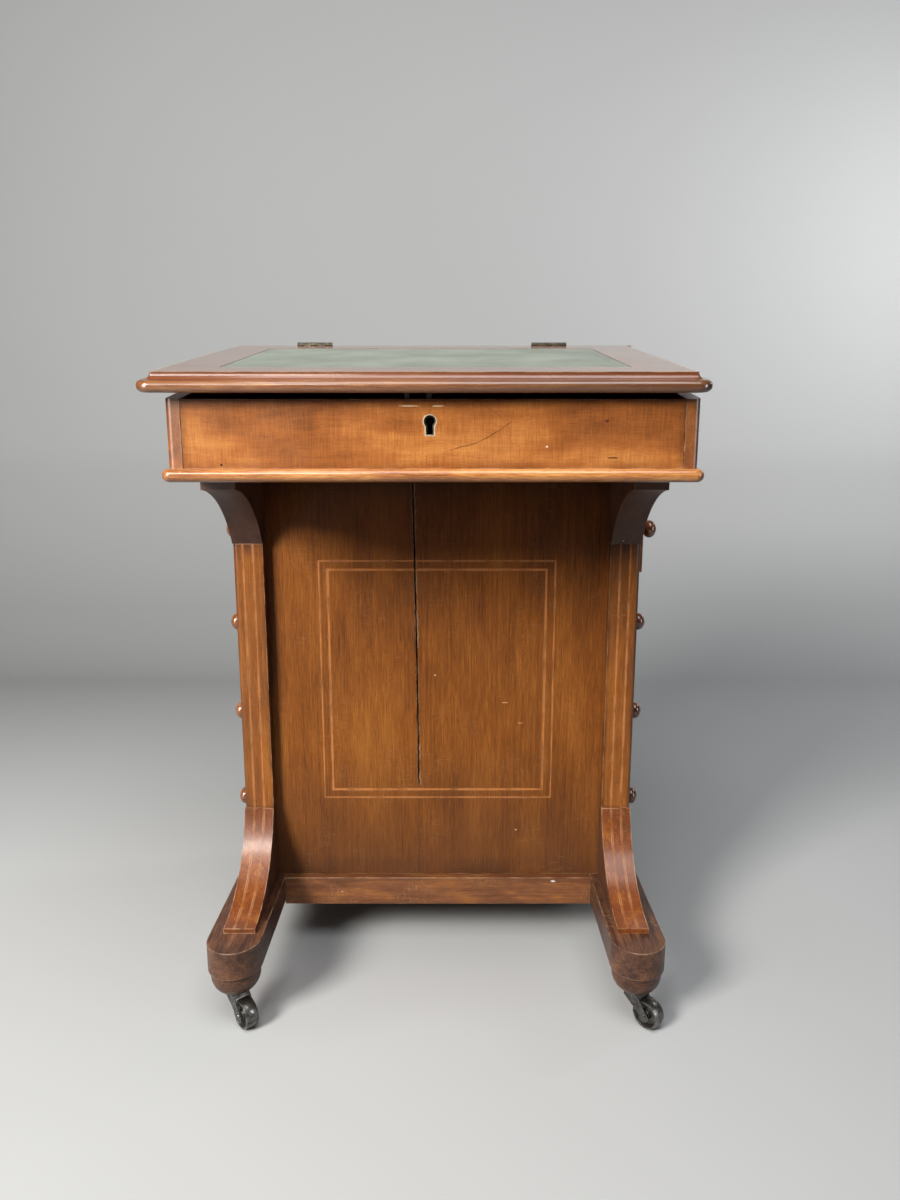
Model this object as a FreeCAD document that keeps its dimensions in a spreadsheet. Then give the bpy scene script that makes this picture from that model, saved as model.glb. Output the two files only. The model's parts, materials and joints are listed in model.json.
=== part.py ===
import FreeCAD
import Part
import math
import os
from types import SimpleNamespace

import Sketcher

# A davenport: a small sloping writing box that stands forward of a pedestal of drawers.
# Millimetres. +X is the drawer side (the sitter's right), -Y is the sitter's side and +Z is up.
# The origin is on the floor under the middle of the desk.

SIZES = {
    # writing lid, hinged to the fixed ledge behind it
    "lid_width": 560.0,
    "desk_depth": 530.0,
    "board_thick": 19.0,
    "lid_angle": 10.4,
    "lid_shift": -8.0,
    "bead_radius": 6.0,
    "bead_quirk": 1.0,
    "lid_corner": 9.0,
    "ledge_rise": 171.0,
    "hinge_y": 100.0,
    "hinge_gap": 0.5,
    "hinge_spread": 321.0,
    "hinge_length": 48.0,
    "leaf_height": 14.5,
    "leaf_thick": 2.0,
    "barrel_radius": 3.0,
    "barrel_rise": 1.0,
    "leaf_drop": 0.5,
    "hinge_bed_gap": 0.2,
    "pin_radius": 1.2,
    "running_gap": 0.05,
    # leather let into the lid
    "leather_width": 420.0,
    "leather_front": 59.0,
    "leather_back": 57.0,
    "leather_thick": 1.0,
    "leather_sink": 0.2,
    # writing box
    "box_width": 530.0,
    "box_front_inset": 22.0,
    "box_back_inset": 13.0,
    "box_side": 15.0,
    "box_front_thick": 18.0,
    "rim_rise": 81.0,
    "box_corner": 7.0,
    "floor_thick": 13.4,
    "floor_side_lip": 6.3,
    "floor_front_lip": 8.0,
    "floor_corner": 10.0,
    "floor_edge_flat": 0.1,
    # lock, keyhole and link plate
    "lock_x": -7.0,
    "lock_width": 64.0,
    "lock_height": 41.0,
    "lock_depth": 15.0,
    "lock_wall": 2.0,
    "lock_lip": 1.2,
    "lock_lip_side": 4.0,
    "lock_back_set": 22.0,
    "keyhole_x": -3.0,
    "keyhole_below_rim": 21.0,
    "keyhole_radius": 5.5,
    "keyhole_slot": 7.5,
    "keyhole_drop": 14.0,
    "liner_thick": 1.3,
    "liner_depth": 3.0,
    "bolt_height": 8.0,
    "bolt_throw": 4.0,
    "bolt_clear": 1.0,
    "staple_pitch": 22.0,
    "staple_width": 5.0,
    "staple_depth": 3.0,
    "link_width": 50.0,
    "link_depth": 14.0,
    "link_thick": 1.5,
    # nest of pigeonholes and small drawers under the ledge
    "nest_face": 125.0,
    "small_opening": 47.6,
    "nest_board": 6.0,
    "small_front": 9.0,
    "small_wall": 5.0,
    "small_floor": 3.0,
    "small_knob_radius": 5.4,
    "small_knob_neck": 2.5,
    "small_knob_length": 11.0,
    # pedestal
    "pedestal_inset": 4.0,
    "panel_face": -16.0,
    "panel_thick": 14.0,
    "pedestal_back_set": 3.0,
    "post_width": 25.0,
    "post_depth": 20.0,
    "lining_thick": 10.0,
    "back_panel_thick": 8.0,
    "back_panel_set": 5.0,
    "plinth_top": 108.5,
    "plinth_under": 69.0,
    "plinth_proud": 11.0,
    "plinth_thick": 20.0,
    "dust_board": 12.0,
    "lowest_rail": 33.0,
    "drawer_pitch": 129.5,
    "opening_height": 110.0,
    "top_rail": 21.0,
    # drawers
    "drawer_gap": 1.0,
    "seat_gap": 0.3,
    "drawer_proud": 2.0,
    "drawer_front": 17.0,
    "drawer_side": 8.0,
    "drawer_side_height": 96.0,
    "drawer_floor": 5.0,
    "drawer_floor_up": 6.0,
    "drawer_back_gap": 3.0,
    "top_drawer_out": 10.0,
    "runner_width": 24.0,
    "runner_thick": 12.0,
    "guide_height": 20.0,
    "knob_spread": 133.0,
    "knob_radius": 12.0,
    "knob_neck": 5.5,
    "knob_length": 26.0,
    # inlaid lines of boxwood
    "line_depth": 0.8,
    "outer_line": 1.5,
    "inner_line": 2.5,
    "line_frame_width": 310.0,
    "line_frame_rise": 113.5,
    "line_frame_drop": 110.5,
    "line_frame_step": 11.0,
    # split in the front panel
    "split_x": -26.0,
    "split_rise": 131.5,
    "split_gape": 2.2,
    "split_lean": 5.0,
    # pilasters, brackets, legs and feet
    "pilaster_width": 38.8,
    "pilaster_thick": 15.0,
    "leg_height": 105.5,
    "bracket_height": 87.0,
    "pilaster_round": 6.0,
    "bracket_reach": 121.5,
    "bracket_nose": 12.7,
    "bracket_curve": 155.0,
    "strip_thick": 6.5,
    "strip_proud": 2.0,
    "toe_set_back": 42.0,
    "foot_splay": 3.5,
    "foot_width": 66.0,
    "foot_front": -201.0,
    "foot_rear_proud": 9.0,
    "foot_under": 73.0,
    # turned pads and castors
    "pad_radius": 30.0,
    "pad_under": 42.0,
    "pad_neck": 13.5,
    "pad_bowl": 23.5,
    "pad_rim": 9.0,
    "plate_thick": 2.5,
    "plate_radius": 13.0,
    "stem_radius": 3.5,
    "stem_length": 22.0,
    "crown_radius": 9.0,
    "crown_thick": 5.5,
    "castor_trail": 20.0,
    "wheel_radius": 18.0,
    "wheel_width": 16.0,
    "wheel_crown": 1.2,
    "wheel_rim": 2.0,
    "wheel_flare": 2.6,
    "wheel_web": 5.0,
    "hub_width": 14.0,
    "hub_radius": 5.5,
    "hub_flare": 1.6,
    "wheel_gap": 0.8,
    "cheek_thick": 2.2,
    "cheek_radius": 7.0,
    "axle_radius": 2.0,
    "axle_head": 1.0,
    "axle_head_radius": 3.4,
    "axle_head_round": 0.6,
    "castor_turn": 42.0,
    "back_left_turn": 36.0,
    "back_right_turn": 47.0,
}


class Size:
    """A size with its number now and the formula that ties it to the sheet of sizes."""

    def __init__(self, number, formula=None):
        self.number = float(number)
        self.formula = formula or f"({float(number)})"

    def __add__(self, other):
        other = sized(other)
        return Size(self.number + other.number, f"({self.formula} + {other.formula})")

    def __sub__(self, other):
        other = sized(other)
        return Size(self.number - other.number, f"({self.formula} - {other.formula})")

    def __mul__(self, other):
        other = sized(other)
        return Size(self.number * other.number, f"({self.formula} * {other.formula})")

    def __truediv__(self, other):
        other = sized(other)
        return Size(self.number / other.number, f"({self.formula} / {other.formula})")

    def __neg__(self):
        return self * -1

    __radd__ = __add__
    __rmul__ = __mul__

    def __rsub__(self, other):
        return sized(other) - self


def sized(value):
    """Any number as a Size."""
    return value if isinstance(value, Size) else Size(value)


def root(value):
    return Size(math.sqrt(value.number), f"sqrt({value.formula})")


def span(across, up):
    """The straight distance between two points."""
    return root(across * across + up * up)


def sine(angle):
    return Size(math.sin(math.radians(angle.number)), f"sin({angle.formula})")


def cosine(angle):
    return Size(math.cos(math.radians(angle.number)), f"cos({angle.formula})")


document = FreeCAD.newDocument("Davenport")
sheet = document.addObject("Spreadsheet::Sheet", "Sizes")
for row, (alias, number) in enumerate(SIZES.items(), start=1):
    sheet.set(f"A{row}", alias)
    sheet.set(f"B{row}", str(number))
    sheet.setAlias(f"B{row}", alias)
document.recompute()
s = SimpleNamespace(**{alias: Size(number, f"Sizes.{alias}") for alias, number in SIZES.items()})

LEFT = -1
RIGHT = 1
CUT = 20.0  # how far a cutting outline reaches past the wood


# ---------------------------------------------------------------- ways of making a piece

def place(thing, x=0, y=0, z=0, axis=(0, 0, 1), angle=0):
    """Puts a piece at a point, turned about one axis, and ties the place to the sheet."""
    x, y, z, angle = sized(x), sized(y), sized(z), sized(angle)
    point = FreeCAD.Vector(x.number, y.number, z.number)
    thing.Placement = FreeCAD.Placement(point, FreeCAD.Rotation(FreeCAD.Vector(axis), angle.number))
    thing.setExpression("Placement.Base.x", x.formula)
    thing.setExpression("Placement.Base.y", y.formula)
    thing.setExpression("Placement.Base.z", z.formula)
    thing.setExpression("Placement.Rotation.Angle", angle.formula)
    return thing


def board(label, x0, x1, y0, y1, z0, z1):
    """A square-edged board between two opposite corners."""
    box = document.addObject("Part::Box", label)
    for name, low, high in (("Length", x0, x1), ("Width", y0, y1), ("Height", z0, z1)):
        box.setExpression(name, (sized(high) - low).formula)
    return place(box, x0, y0, z0)


def rod(label, radius, length, x, y, z, axis=(0, 0, 1), angle=0):
    """A round rod from a point, along +Z unless it is turned."""
    cylinder = document.addObject("Part::Cylinder", label)
    cylinder.setExpression("Radius", sized(radius).formula)
    cylinder.setExpression("Height", sized(length).formula)
    return place(cylinder, x, y, z, axis, angle)


def fused(label, parts):
    fuse = document.addObject("Part::MultiFuse", label)
    fuse.Shapes = parts
    return fuse


def cut(label, base, tool):
    result = document.addObject("Part::Cut", label)
    result.Base = base
    result.Tool = tool
    return result


def body(label):
    return document.addObject("PartDesign::Body", label)


def arc(start, end, radius, turn):
    """The short arc between two points; turn is 1 where the path turns left, -1 where right."""
    run = end - start
    chord = run.Length
    rise = math.sqrt(max(radius * radius - chord * chord / 4, 0.0))
    sideways = FreeCAD.Vector(-run.y, run.x, 0) / chord
    centre = (start + end) / 2 + sideways * rise * turn
    first, last = (start, end) if turn > 0 else (end, start)
    from_angle = math.atan2(first.y - centre.y, first.x - centre.x)
    to_angle = math.atan2(last.y - centre.y, last.x - centre.x)
    circle = Part.Circle(centre, FreeCAD.Vector(0, 0, 1), radius)
    return Part.ArcOfCircle(circle, from_angle, to_angle)


def draw_loop(sketch, corners):
    """Draws one closed outline. A corner is (across, up), or (across, up, radius, turn) where
    an arc leads from it to the next. Each corner and radius is tied to the sheet."""
    corners = [tuple(sized(value) for value in corner[:3]) + corner[3:] for corner in corners]
    points = [FreeCAD.Vector(corner[0].number, corner[1].number, 0) for corner in corners]
    start_of = {}
    end_of = {}
    for index, corner in enumerate(corners):
        start = points[index]
        end = points[(index + 1) % len(points)]
        if len(corner) == 4:
            edge = sketch.addGeometry(arc(start, end, corner[2].number, corner[3]), False)
            forward = corner[3] > 0
            tie(sketch, Sketcher.Constraint("Radius", edge, corner[2].number), corner[2])
        else:
            edge = sketch.addGeometry(Part.LineSegment(start, end), False)
            forward = True
        start_of[index] = (edge, 1 if forward else 2)
        end_of[index] = (edge, 2 if forward else 1)
    for index, corner in enumerate(corners):
        following = (index + 1) % len(corners)
        sketch.addConstraint(Sketcher.Constraint("Coincident", *end_of[index], *start_of[following]))
        for kind, size in (("DistanceX", corner[0]), ("DistanceY", corner[1])):
            tie(sketch, Sketcher.Constraint(kind, -1, 1, *start_of[index], size.number), size)


def tie(sketch, constraint, size):
    """Adds a constraint and binds it to its formula."""
    number = sketch.addConstraint(constraint)
    sketch.setExpression(f"Constraints[{number}]", size.formula)


def sketch_on(owner, name, plane, level, loops):
    """A sketch on one of the body's own planes, moved along its axis to a level."""
    sketch = owner.newObject("Sketcher::SketchObject", name)
    support = [f for f in owner.Origin.OriginFeatures if f.Role == f"{plane}_Plane"][0]
    sketch.AttachmentSupport = [(support, "")]
    sketch.MapMode = "FlatFace"
    away = -sized(level) if plane == "XZ" else sized(level)
    sketch.AttachmentOffset = FreeCAD.Placement(FreeCAD.Vector(0, 0, away.number), FreeCAD.Rotation())
    sketch.setExpression("AttachmentOffset.Base.z", away.formula)
    for loop in loops:
        draw_loop(sketch, loop)
    return sketch


def pad(owner, name, plane, loops, low, high):
    """Fills an outline between two levels along the plane's axis."""
    start = high if plane == "XZ" else low
    feature = owner.newObject("PartDesign::Pad", name)
    feature.Profile = sketch_on(owner, f"{name}_outline", plane, start, loops)
    feature.setExpression("Length", (sized(high) - low).formula)
    document.recompute()
    return feature


def pocket(owner, name, plane, loops, low, high):
    """Cuts an outline away between two levels along the plane's axis."""
    before = owner.Shape.Volume
    start = low if plane == "XZ" else high
    feature = owner.newObject("PartDesign::Pocket", name)
    feature.Profile = sketch_on(owner, f"{name}_outline", plane, start, loops)
    feature.setExpression("Length", (sized(high) - low).formula)
    document.recompute()
    if owner.Shape.Volume >= before:
        raise ValueError(f"{name} cuts nothing")
    return feature


def turn(owner, name, loop, axis="V_Axis", plane="XZ"):
    """Turns an outline about the body's own axis."""
    feature = owner.newObject("PartDesign::Revolution", name)
    sketch = sketch_on(owner, f"{name}_outline", plane, 0, [loop])
    feature.Profile = sketch
    feature.ReferenceAxis = (sketch, [axis])
    feature.Angle = 360
    document.recompute()
    return feature


def round_over(owner, name, radius, chosen):
    """Rounds the edges for which chosen(edge) is true."""
    base = owner.Tip
    edges = [f"Edge{i}" for i, edge in enumerate(base.Shape.Edges, start=1) if chosen(edge)]
    feature = owner.newObject("PartDesign::Fillet", name)
    feature.Base = (base, edges)
    feature.setExpression("Radius", sized(radius).formula)
    document.recompute()
    return feature


def rectangle(x0, x1, y0, y1):
    return [(x0, y0), (x1, y0), (x1, y1), (x0, y1)]


def lies_at(edge, **wanted):
    """True where the whole edge lies at the given coordinates."""
    box = edge.BoundBox
    for axis, value in wanted.items():
        low, high = getattr(box, f"{axis}Min"), getattr(box, f"{axis}Max")
        if abs(low - value.number) > 0.01 or abs(high - value.number) > 0.01:
            return False
    return True


nodes = {}


def keep(label, *pieces):
    """Names a node. Several pieces of one kind share it as separate solids."""
    if len(pieces) == 1:
        kept = pieces[0]
    else:
        kept = document.addObject("Part::Compound", label)
        kept.Links = list(pieces)
    kept.Label = label
    nodes[label] = kept
    return kept


# ---------------------------------------------------------------- places that pieces share

front_y = -s.desk_depth / 2
rear_y = s.desk_depth / 2

# heights, from the plinth up over four drawers to the writing box
openings = [s.plinth_top + s.lowest_rail + s.drawer_pitch * (3 - index) for index in range(4)]
floor_under = openings[0] + s.opening_height + s.top_rail
floor_top = floor_under + s.floor_thick
box_rim = floor_under + s.rim_rise
keyhole_up = box_rim - s.keyhole_below_rim
nest_shelf = floor_top + s.small_opening
ledge_top = floor_under + s.ledge_rise
ledge_under = ledge_top - s.board_thick
hinge_z = ledge_top + s.barrel_rise
pilaster_low = s.plinth_top + s.leg_height
pilaster_high = floor_under - s.bracket_height

slope_sine = sine(s.lid_angle)
slope_cosine = cosine(s.lid_angle)

box_half = s.box_width / 2
box_front = front_y + s.box_front_inset
box_inner_front = box_front + s.box_front_thick
box_back = rear_y - s.box_back_inset
box_inner_back = box_back - s.box_front_thick
box_inner_half = box_half - s.box_side
ledge_front = s.hinge_y + s.hinge_gap

# the lid's own frame has its origin on the hinge pin and its Y along the slope
lid_top = -(s.barrel_rise * slope_cosine) + s.hinge_gap * slope_sine
lid_under = lid_top - s.board_thick
nose_up = lid_under + s.bead_radius
lid_nose = -((s.hinge_y - front_y - nose_up * slope_sine) / slope_cosine)


def in_lid(y, z):
    """A point near the hinge, measured from the pin, in the lid's own sloping frame."""
    return (sized(y) * slope_cosine + sized(z) * slope_sine, sized(z) * slope_cosine - sized(y) * slope_sine)


# height of the lid's underside over the hinge pin, where the rim's back end meets it
under_at_hinge = hinge_z + lid_under / slope_cosine
rim_back = under_at_hinge - s.seat_gap

pedestal_half = box_half - s.pedestal_inset
pedestal_back = box_back - s.pedestal_back_set
panel_back = s.panel_face + s.panel_thick
front_post_back = s.panel_face + s.post_width
rear_post_front = pedestal_back - s.post_width
post_inner = pedestal_half - s.post_depth
back_panel_out = pedestal_back - s.back_panel_set
back_panel_in = back_panel_out - s.back_panel_thick
lining_in = post_inner - s.lining_thick
drawer_middle = (front_post_back + rear_post_front) / 2

pilaster_front = s.panel_face - s.pilaster_thick
pilaster_inner = pedestal_half - s.pilaster_width
pilaster_middle = pedestal_half - s.pilaster_width / 2


# ---------------------------------------------------------------- writing box

def moulded_edge(nose, inward, under, top):
    """The section of the ogee edge, from the top arris down to the underside: a cove, a
    narrow quirk and a half-round bead. inward is 1 where the wood lies on the + side."""
    bead = s.bead_radius
    cove = top - under - bead * 2
    bead_in = nose + bead * inward
    cove_in = nose + (bead + s.bead_quirk) * inward
    return [
        (cove_in + cove * inward, top, cove, -inward),
        (cove_in, under + bead * 2),
        (bead_in, under + bead * 2, bead, inward),
        (nose, under + bead, bead, inward),
        (bead_in, under),
    ]


def mould_off(nose, inward, under, top):
    """The outline that cuts away what lies outside a moulded edge."""
    section = moulded_edge(nose, inward, under, top)
    outside = nose - CUT * inward
    return section + [
        (section[-1][0], under - CUT),
        (outside, under - CUT),
        (outside, top + CUT),
        (section[0][0], top + CUT),
    ]


def corner_off(x, y, x_in, y_in, radius):
    """The outline that rounds one corner of a board in plan."""
    turned = -x_in * y_in
    return [
        (x + radius * x_in, y, radius, turned),
        (x, y + radius * y_in),
        (x - CUT * x_in, y + radius * y_in),
        (x - CUT * x_in, y - CUT * y_in),
        (x + radius * x_in, y - CUT * y_in),
    ]


def keyhole_loop(grow):
    """A round head over a straight slot; grow is the metal taken off all round."""
    radius = s.keyhole_radius - grow
    half = s.keyhole_slot / 2 - grow
    shoulder = keyhole_up - root(radius * radius - half * half)
    foot = keyhole_up - s.keyhole_drop + grow
    return [
        (s.keyhole_x - half, shoulder, radius, -1),
        (s.keyhole_x, keyhole_up + radius, radius, -1),
        (s.keyhole_x + half, shoulder),
        (s.keyhole_x + half, foot),
        (s.keyhole_x - half, foot),
    ]


def make_writing_box():
    lock_back = box_front + s.lock_back_set
    lock_front = lock_back - s.lock_depth
    lock_half = s.lock_width / 2
    lip_half = lock_half + s.lock_lip_side
    lip_front = lock_front - s.lock_lip_side
    lock_floor = box_rim - s.lock_height

    front = body("box_front")
    pad(front, "front_board", "XZ", [rectangle(-box_inner_half, box_inner_half, floor_top, box_rim)],
        box_front, box_inner_front)
    pocket(front, "keyhole", "XZ", [keyhole_loop(0)], box_front, box_inner_front)
    mortise = rectangle(s.lock_x - lock_half, s.lock_x + lock_half, lock_floor, box_rim + CUT)
    pocket(front, "lock_mortise", "XZ", [mortise], lock_front, box_inner_front)
    lip_bed = rectangle(s.lock_x - lip_half, s.lock_x + lip_half, box_rim - s.lock_lip, box_rim + CUT)
    pocket(front, "lip_bed", "XZ", [lip_bed], lip_front, box_inner_front)
    keep("box_front", front)

    liner = body("keyhole_liner")
    pad(liner, "liner", "XZ", [keyhole_loop(0), keyhole_loop(s.liner_thick)],
        box_front, box_front + s.liner_depth)
    keep("keyhole_liner", liner)

    for side, name in ((LEFT, "box_side_left"), (RIGHT, "box_side_right")):
        board_body = body(name)
        inner, outer = box_inner_half * side, box_half * side
        low, high = (outer, inner) if side == LEFT else (inner, outer)
        outline = [
            (box_front, floor_top),
            (box_back, floor_top),
            (box_back, ledge_under),
            (ledge_front, ledge_under),
            (ledge_front, rim_back),
            (box_front, box_rim),
        ]
        pad(board_body, f"{name}_board", "YZ", [outline], low, high)
        round_over(board_body, f"{name}_corner", s.box_corner,
                   lambda edge: lies_at(edge, X=outer, Y=box_front))
        keep(name, board_body)

    keep("box_back", board("box_back", -box_inner_half, box_inner_half, box_inner_back, box_back,
                           floor_top, ledge_under))

    floor = body("box_bottom")
    lip_side = box_half + s.floor_side_lip
    lip_y = box_front - s.floor_front_lip
    round_in = s.floor_corner
    plan = [
        (-lip_side, box_back),
        (-lip_side, lip_y + round_in, round_in, 1),
        (-lip_side + round_in, lip_y),
        (lip_side - round_in, lip_y, round_in, 1),
        (lip_side, lip_y + round_in),
        (lip_side, box_back),
    ]
    pad(floor, "floor_board", "XY", [plan], floor_under, floor_top)
    bullnose = (s.floor_thick - s.floor_edge_flat) / 2
    round_over(floor, "bullnose", bullnose,
               lambda edge: not lies_at(edge, Y=box_back)
               and (lies_at(edge, Z=floor_top) or lies_at(edge, Z=floor_under)))
    keep("box_bottom", floor)

    case = body("lock_case")
    pad(case, "case", "XZ", [rectangle(s.lock_x - lock_half, s.lock_x + lock_half, lock_floor, box_rim)],
        lock_front, lock_back)
    lip = rectangle(s.lock_x - lip_half, s.lock_x + lip_half, box_rim - s.lock_lip, box_rim)
    pad(case, "lip", "XZ", [lip], lip_front, lock_back)
    cavity_half = lock_half - s.lock_wall
    cavity_top = box_rim - s.lock_wall
    bolt_floor = cavity_top - s.bolt_height - s.lock_wall
    cavity = rectangle(s.lock_x - cavity_half, s.lock_x + cavity_half, lock_floor + s.lock_wall, cavity_top)
    pocket(case, "cavity", "XZ", [cavity], lock_front + s.lock_wall, lock_back)
    pocket(case, "case_keyhole", "XZ", [keyhole_loop(s.liner_thick)], lock_front, lock_front + s.lock_wall)
    slot_half = s.staple_width / 2 + s.bolt_clear
    slot_front = box_front + s.box_front_thick / 2
    for side in (LEFT, RIGHT):
        middle = s.lock_x + s.staple_pitch / 2 * side
        slot = rectangle(middle - slot_half, middle + slot_half, slot_front, slot_front + s.staple_depth * 2)
        pocket(case, f"staple_slot_{side + 2}", "XY", [slot], cavity_top, box_rim)
    cover = board("lock_cover", s.lock_x - lock_half, s.lock_x + lock_half, lock_back,
                  lock_back + s.lock_wall, lock_floor, box_rim)
    rest = board("bolt_rest", s.lock_x - cavity_half, s.lock_x + cavity_half, lock_front + s.lock_wall,
                 lock_back, bolt_floor - s.lock_wall, bolt_floor)
    keep("lock_case", case, cover, rest)

    bolt = body("lock_bolt")
    bolt_half = cavity_half - s.bolt_throw - s.bolt_clear
    bolt_low = bolt_floor + s.seat_gap
    bolt_top = bolt_low + s.bolt_height
    hook = s.staple_width
    outline = [
        (s.lock_x - bolt_half, bolt_low),
        (s.lock_x + bolt_half, bolt_low),
        (s.lock_x + bolt_half, bolt_top),
        (s.lock_x + bolt_half - hook, bolt_top),
        (s.lock_x + bolt_half - hook, bolt_top - s.bolt_height / 2),
        (s.lock_x - bolt_half + hook, bolt_top - s.bolt_height / 2),
        (s.lock_x - bolt_half + hook, bolt_top),
        (s.lock_x - bolt_half, bolt_top),
    ]
    bolt_front = lock_front + s.lock_wall + s.bolt_clear
    pad(bolt, "bolt", "XZ", [outline], bolt_front, bolt_front + s.staple_depth * 2)
    keep("lock_bolt", bolt)


def make_ledge():
    """The fixed board behind the lid, moulded on its two ends and its back."""
    ledge = body("ledge_top")
    half = s.lid_width / 2
    pad(ledge, "ledge_board", "XY", [rectangle(-half, half, ledge_front, rear_y)], ledge_under, ledge_top)
    pocket(ledge, "back_mould", "YZ", [mould_off(rear_y, -1, ledge_under, ledge_top)], -half, half)
    pocket(ledge, "left_mould", "XZ", [mould_off(-half, 1, ledge_under, ledge_top)], ledge_front, rear_y)
    pocket(ledge, "right_mould", "XZ", [mould_off(half, -1, ledge_under, ledge_top)], ledge_front, rear_y)
    pocket(ledge, "plan_corners", "XY",
           [corner_off(-half, rear_y, 1, -1, s.lid_corner), corner_off(half, rear_y, -1, -1, s.lid_corner)],
           ledge_under, ledge_top)
    for side in (LEFT, RIGHT):
        middle = s.lid_shift + s.hinge_spread / 2 * side
        reach = s.hinge_length / 2 + s.seat_gap
        bed = rectangle(s.hinge_y - CUT, s.hinge_y + hinge_bed, leaf_low - s.seat_gap, ledge_top + CUT)
        pocket(ledge, f"hinge_bed_{side + 2}", "YZ", [bed], middle - reach, middle + reach)
    keep("ledge_top", ledge)


# the hinge leaves lie in beds this deep from the pin, and hang this low
hinge_bed = s.barrel_radius + s.hinge_bed_gap
leaf_high = hinge_z - s.barrel_radius - s.leaf_drop
leaf_low = leaf_high - s.leaf_height


def make_hinges():
    """Two butt hinges of five knuckles, with the barrel standing above the joint."""
    knuckle = s.hinge_length / 5
    leaves = {LEFT: [], RIGHT: []}
    pins = []
    for side in (LEFT, RIGHT):
        start = s.lid_shift + s.hinge_spread / 2 * side - s.hinge_length / 2
        for leaf, first in ((RIGHT, 0), (LEFT, 1)):
            name = f"leaf_{side + 2}_{leaf + 2}"
            bed = hinge_bed * leaf
            face = bed - s.leaf_thick * leaf
            y0, y1 = sorted((s.hinge_y + bed, s.hinge_y + face), key=lambda size: size.number)
            pieces = [board(f"{name}_plate", start, start + s.hinge_length, y0, y1, leaf_low, leaf_high)]
            for index in range(first, 5, 2):
                x0 = start + knuckle * index + s.seat_gap / 2
                wide = knuckle - s.seat_gap
                web_out = s.hinge_y + s.barrel_radius * leaf
                web0, web1 = sorted((s.hinge_y + face, web_out), key=lambda size: size.number)
                pieces.append(board(f"{name}_web_{index}", x0, x0 + wide, web0, web1, leaf_high, hinge_z))
                pieces.append(rod(f"{name}_knuckle_{index}", s.barrel_radius, wide, x0, s.hinge_y, hinge_z,
                                  (0, 1, 0), 90))
            bore = rod(f"{name}_bore", s.pin_radius + s.running_gap, s.hinge_length + 2 * CUT,
                       start - CUT, s.hinge_y, hinge_z, (0, 1, 0), 90)
            leaves[leaf].append(cut(name, fused(f"{name}_blank", pieces), bore))
        pins.append(rod(f"hinge_pin_{side + 2}", s.pin_radius, s.hinge_length, start, s.hinge_y, hinge_z,
                        (0, 1, 0), 90))
    keep("ledge_hinge_leaves", *leaves[RIGHT], *pins)
    keep("lid_hinge_leaves", *leaves[LEFT])


def in_lid_place(piece):
    """Hangs a piece drawn in the lid's frame on the hinge pin, at the lid's slope."""
    return place(piece, s.lid_shift, s.hinge_y, hinge_z, (1, 0, 0), s.lid_angle)


def make_lid():
    half = s.lid_width / 2
    lid = body("lid_board")
    back_top = in_lid_back(lid_top)
    back_under = in_lid_back(lid_under)
    section = moulded_edge(lid_nose, 1, lid_under, lid_top)
    pad(lid, "lid_blank", "YZ", [section + [(back_under, lid_under), (back_top, lid_top)]], -half, half)
    for side, name in ((LEFT, "left"), (RIGHT, "right")):
        pocket(lid, f"{name}_edge_mould", "XZ", [mould_off(half * side, -side, lid_under, lid_top)],
               lid_nose - CUT, 0)
    pocket(lid, "front_corners", "XY",
           [corner_off(-half, lid_nose, 1, 1, s.lid_corner), corner_off(half, lid_nose, -1, 1, s.lid_corner)],
           lid_under, lid_top)
    leather_half = s.leather_width / 2
    leather_low = lid_nose + s.leather_front
    leather_high = back_top - s.leather_back
    bed = rectangle(-leather_half, leather_half, leather_low, leather_high)
    leather_bed = lid_top - s.leather_thick - s.leather_sink
    pocket(lid, "leather_bed", "XY", [bed], leather_bed, lid_top)
    for side in (LEFT, RIGHT):
        middle = s.hinge_spread / 2 * side
        reach = s.hinge_length / 2 + s.seat_gap
        low = leaf_low - s.seat_gap - hinge_z
        loop = [in_lid(-hinge_bed, low), in_lid(CUT, low), in_lid(CUT, CUT), in_lid(-hinge_bed, CUT)]
        pocket(lid, f"lid_hinge_bed_{side + 2}", "YZ", [loop], middle - reach, middle + reach)
    staple_y = box_front + s.box_front_thick / 2 + s.staple_depth - s.hinge_y
    staple_middle = (staple_y + lid_under * slope_sine) / slope_cosine
    link_low = staple_middle - s.link_depth / 2
    link_high = staple_middle + s.link_depth / 2
    link_x = s.lock_x
    link = rectangle(link_x - s.link_width / 2, link_x + s.link_width / 2, link_low, link_high)
    pocket(lid, "link_bed", "XY", [link], lid_under, lid_under + s.link_thick)
    keep("lid_board", in_lid_place(lid))

    leather = body("leather_panel")
    gap = s.seat_gap
    skin = rectangle(-leather_half + gap, leather_half - gap, leather_low + gap, leather_high - gap)
    pad(leather, "skin", "XY", [skin], leather_bed, leather_bed + s.leather_thick)
    keep("leather_panel", in_lid_place(leather))

    plate = body("link_plate")
    pad(plate, "link", "XY", [link], lid_under, lid_under + s.link_thick)
    staple_front = staple_middle - s.staple_depth / 2
    staple_end = (box_rim + s.seat_gap - hinge_z - staple_front * slope_sine) / slope_cosine
    for side in (LEFT, RIGHT):
        middle = link_x + s.staple_pitch / 2 * side
        staple = rectangle(middle - s.staple_width / 2, middle + s.staple_width / 2,
                           staple_front, staple_front + s.staple_depth)
        pad(plate, f"staple_{side + 2}", "XY", [staple], staple_end, lid_under)
    keep("link_plate", in_lid_place(plate))


def in_lid_back(height):
    """Where the lid's back edge lies at a height in its own frame; the edge hangs upright."""
    return (height * slope_sine - s.hinge_gap) / slope_cosine


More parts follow.
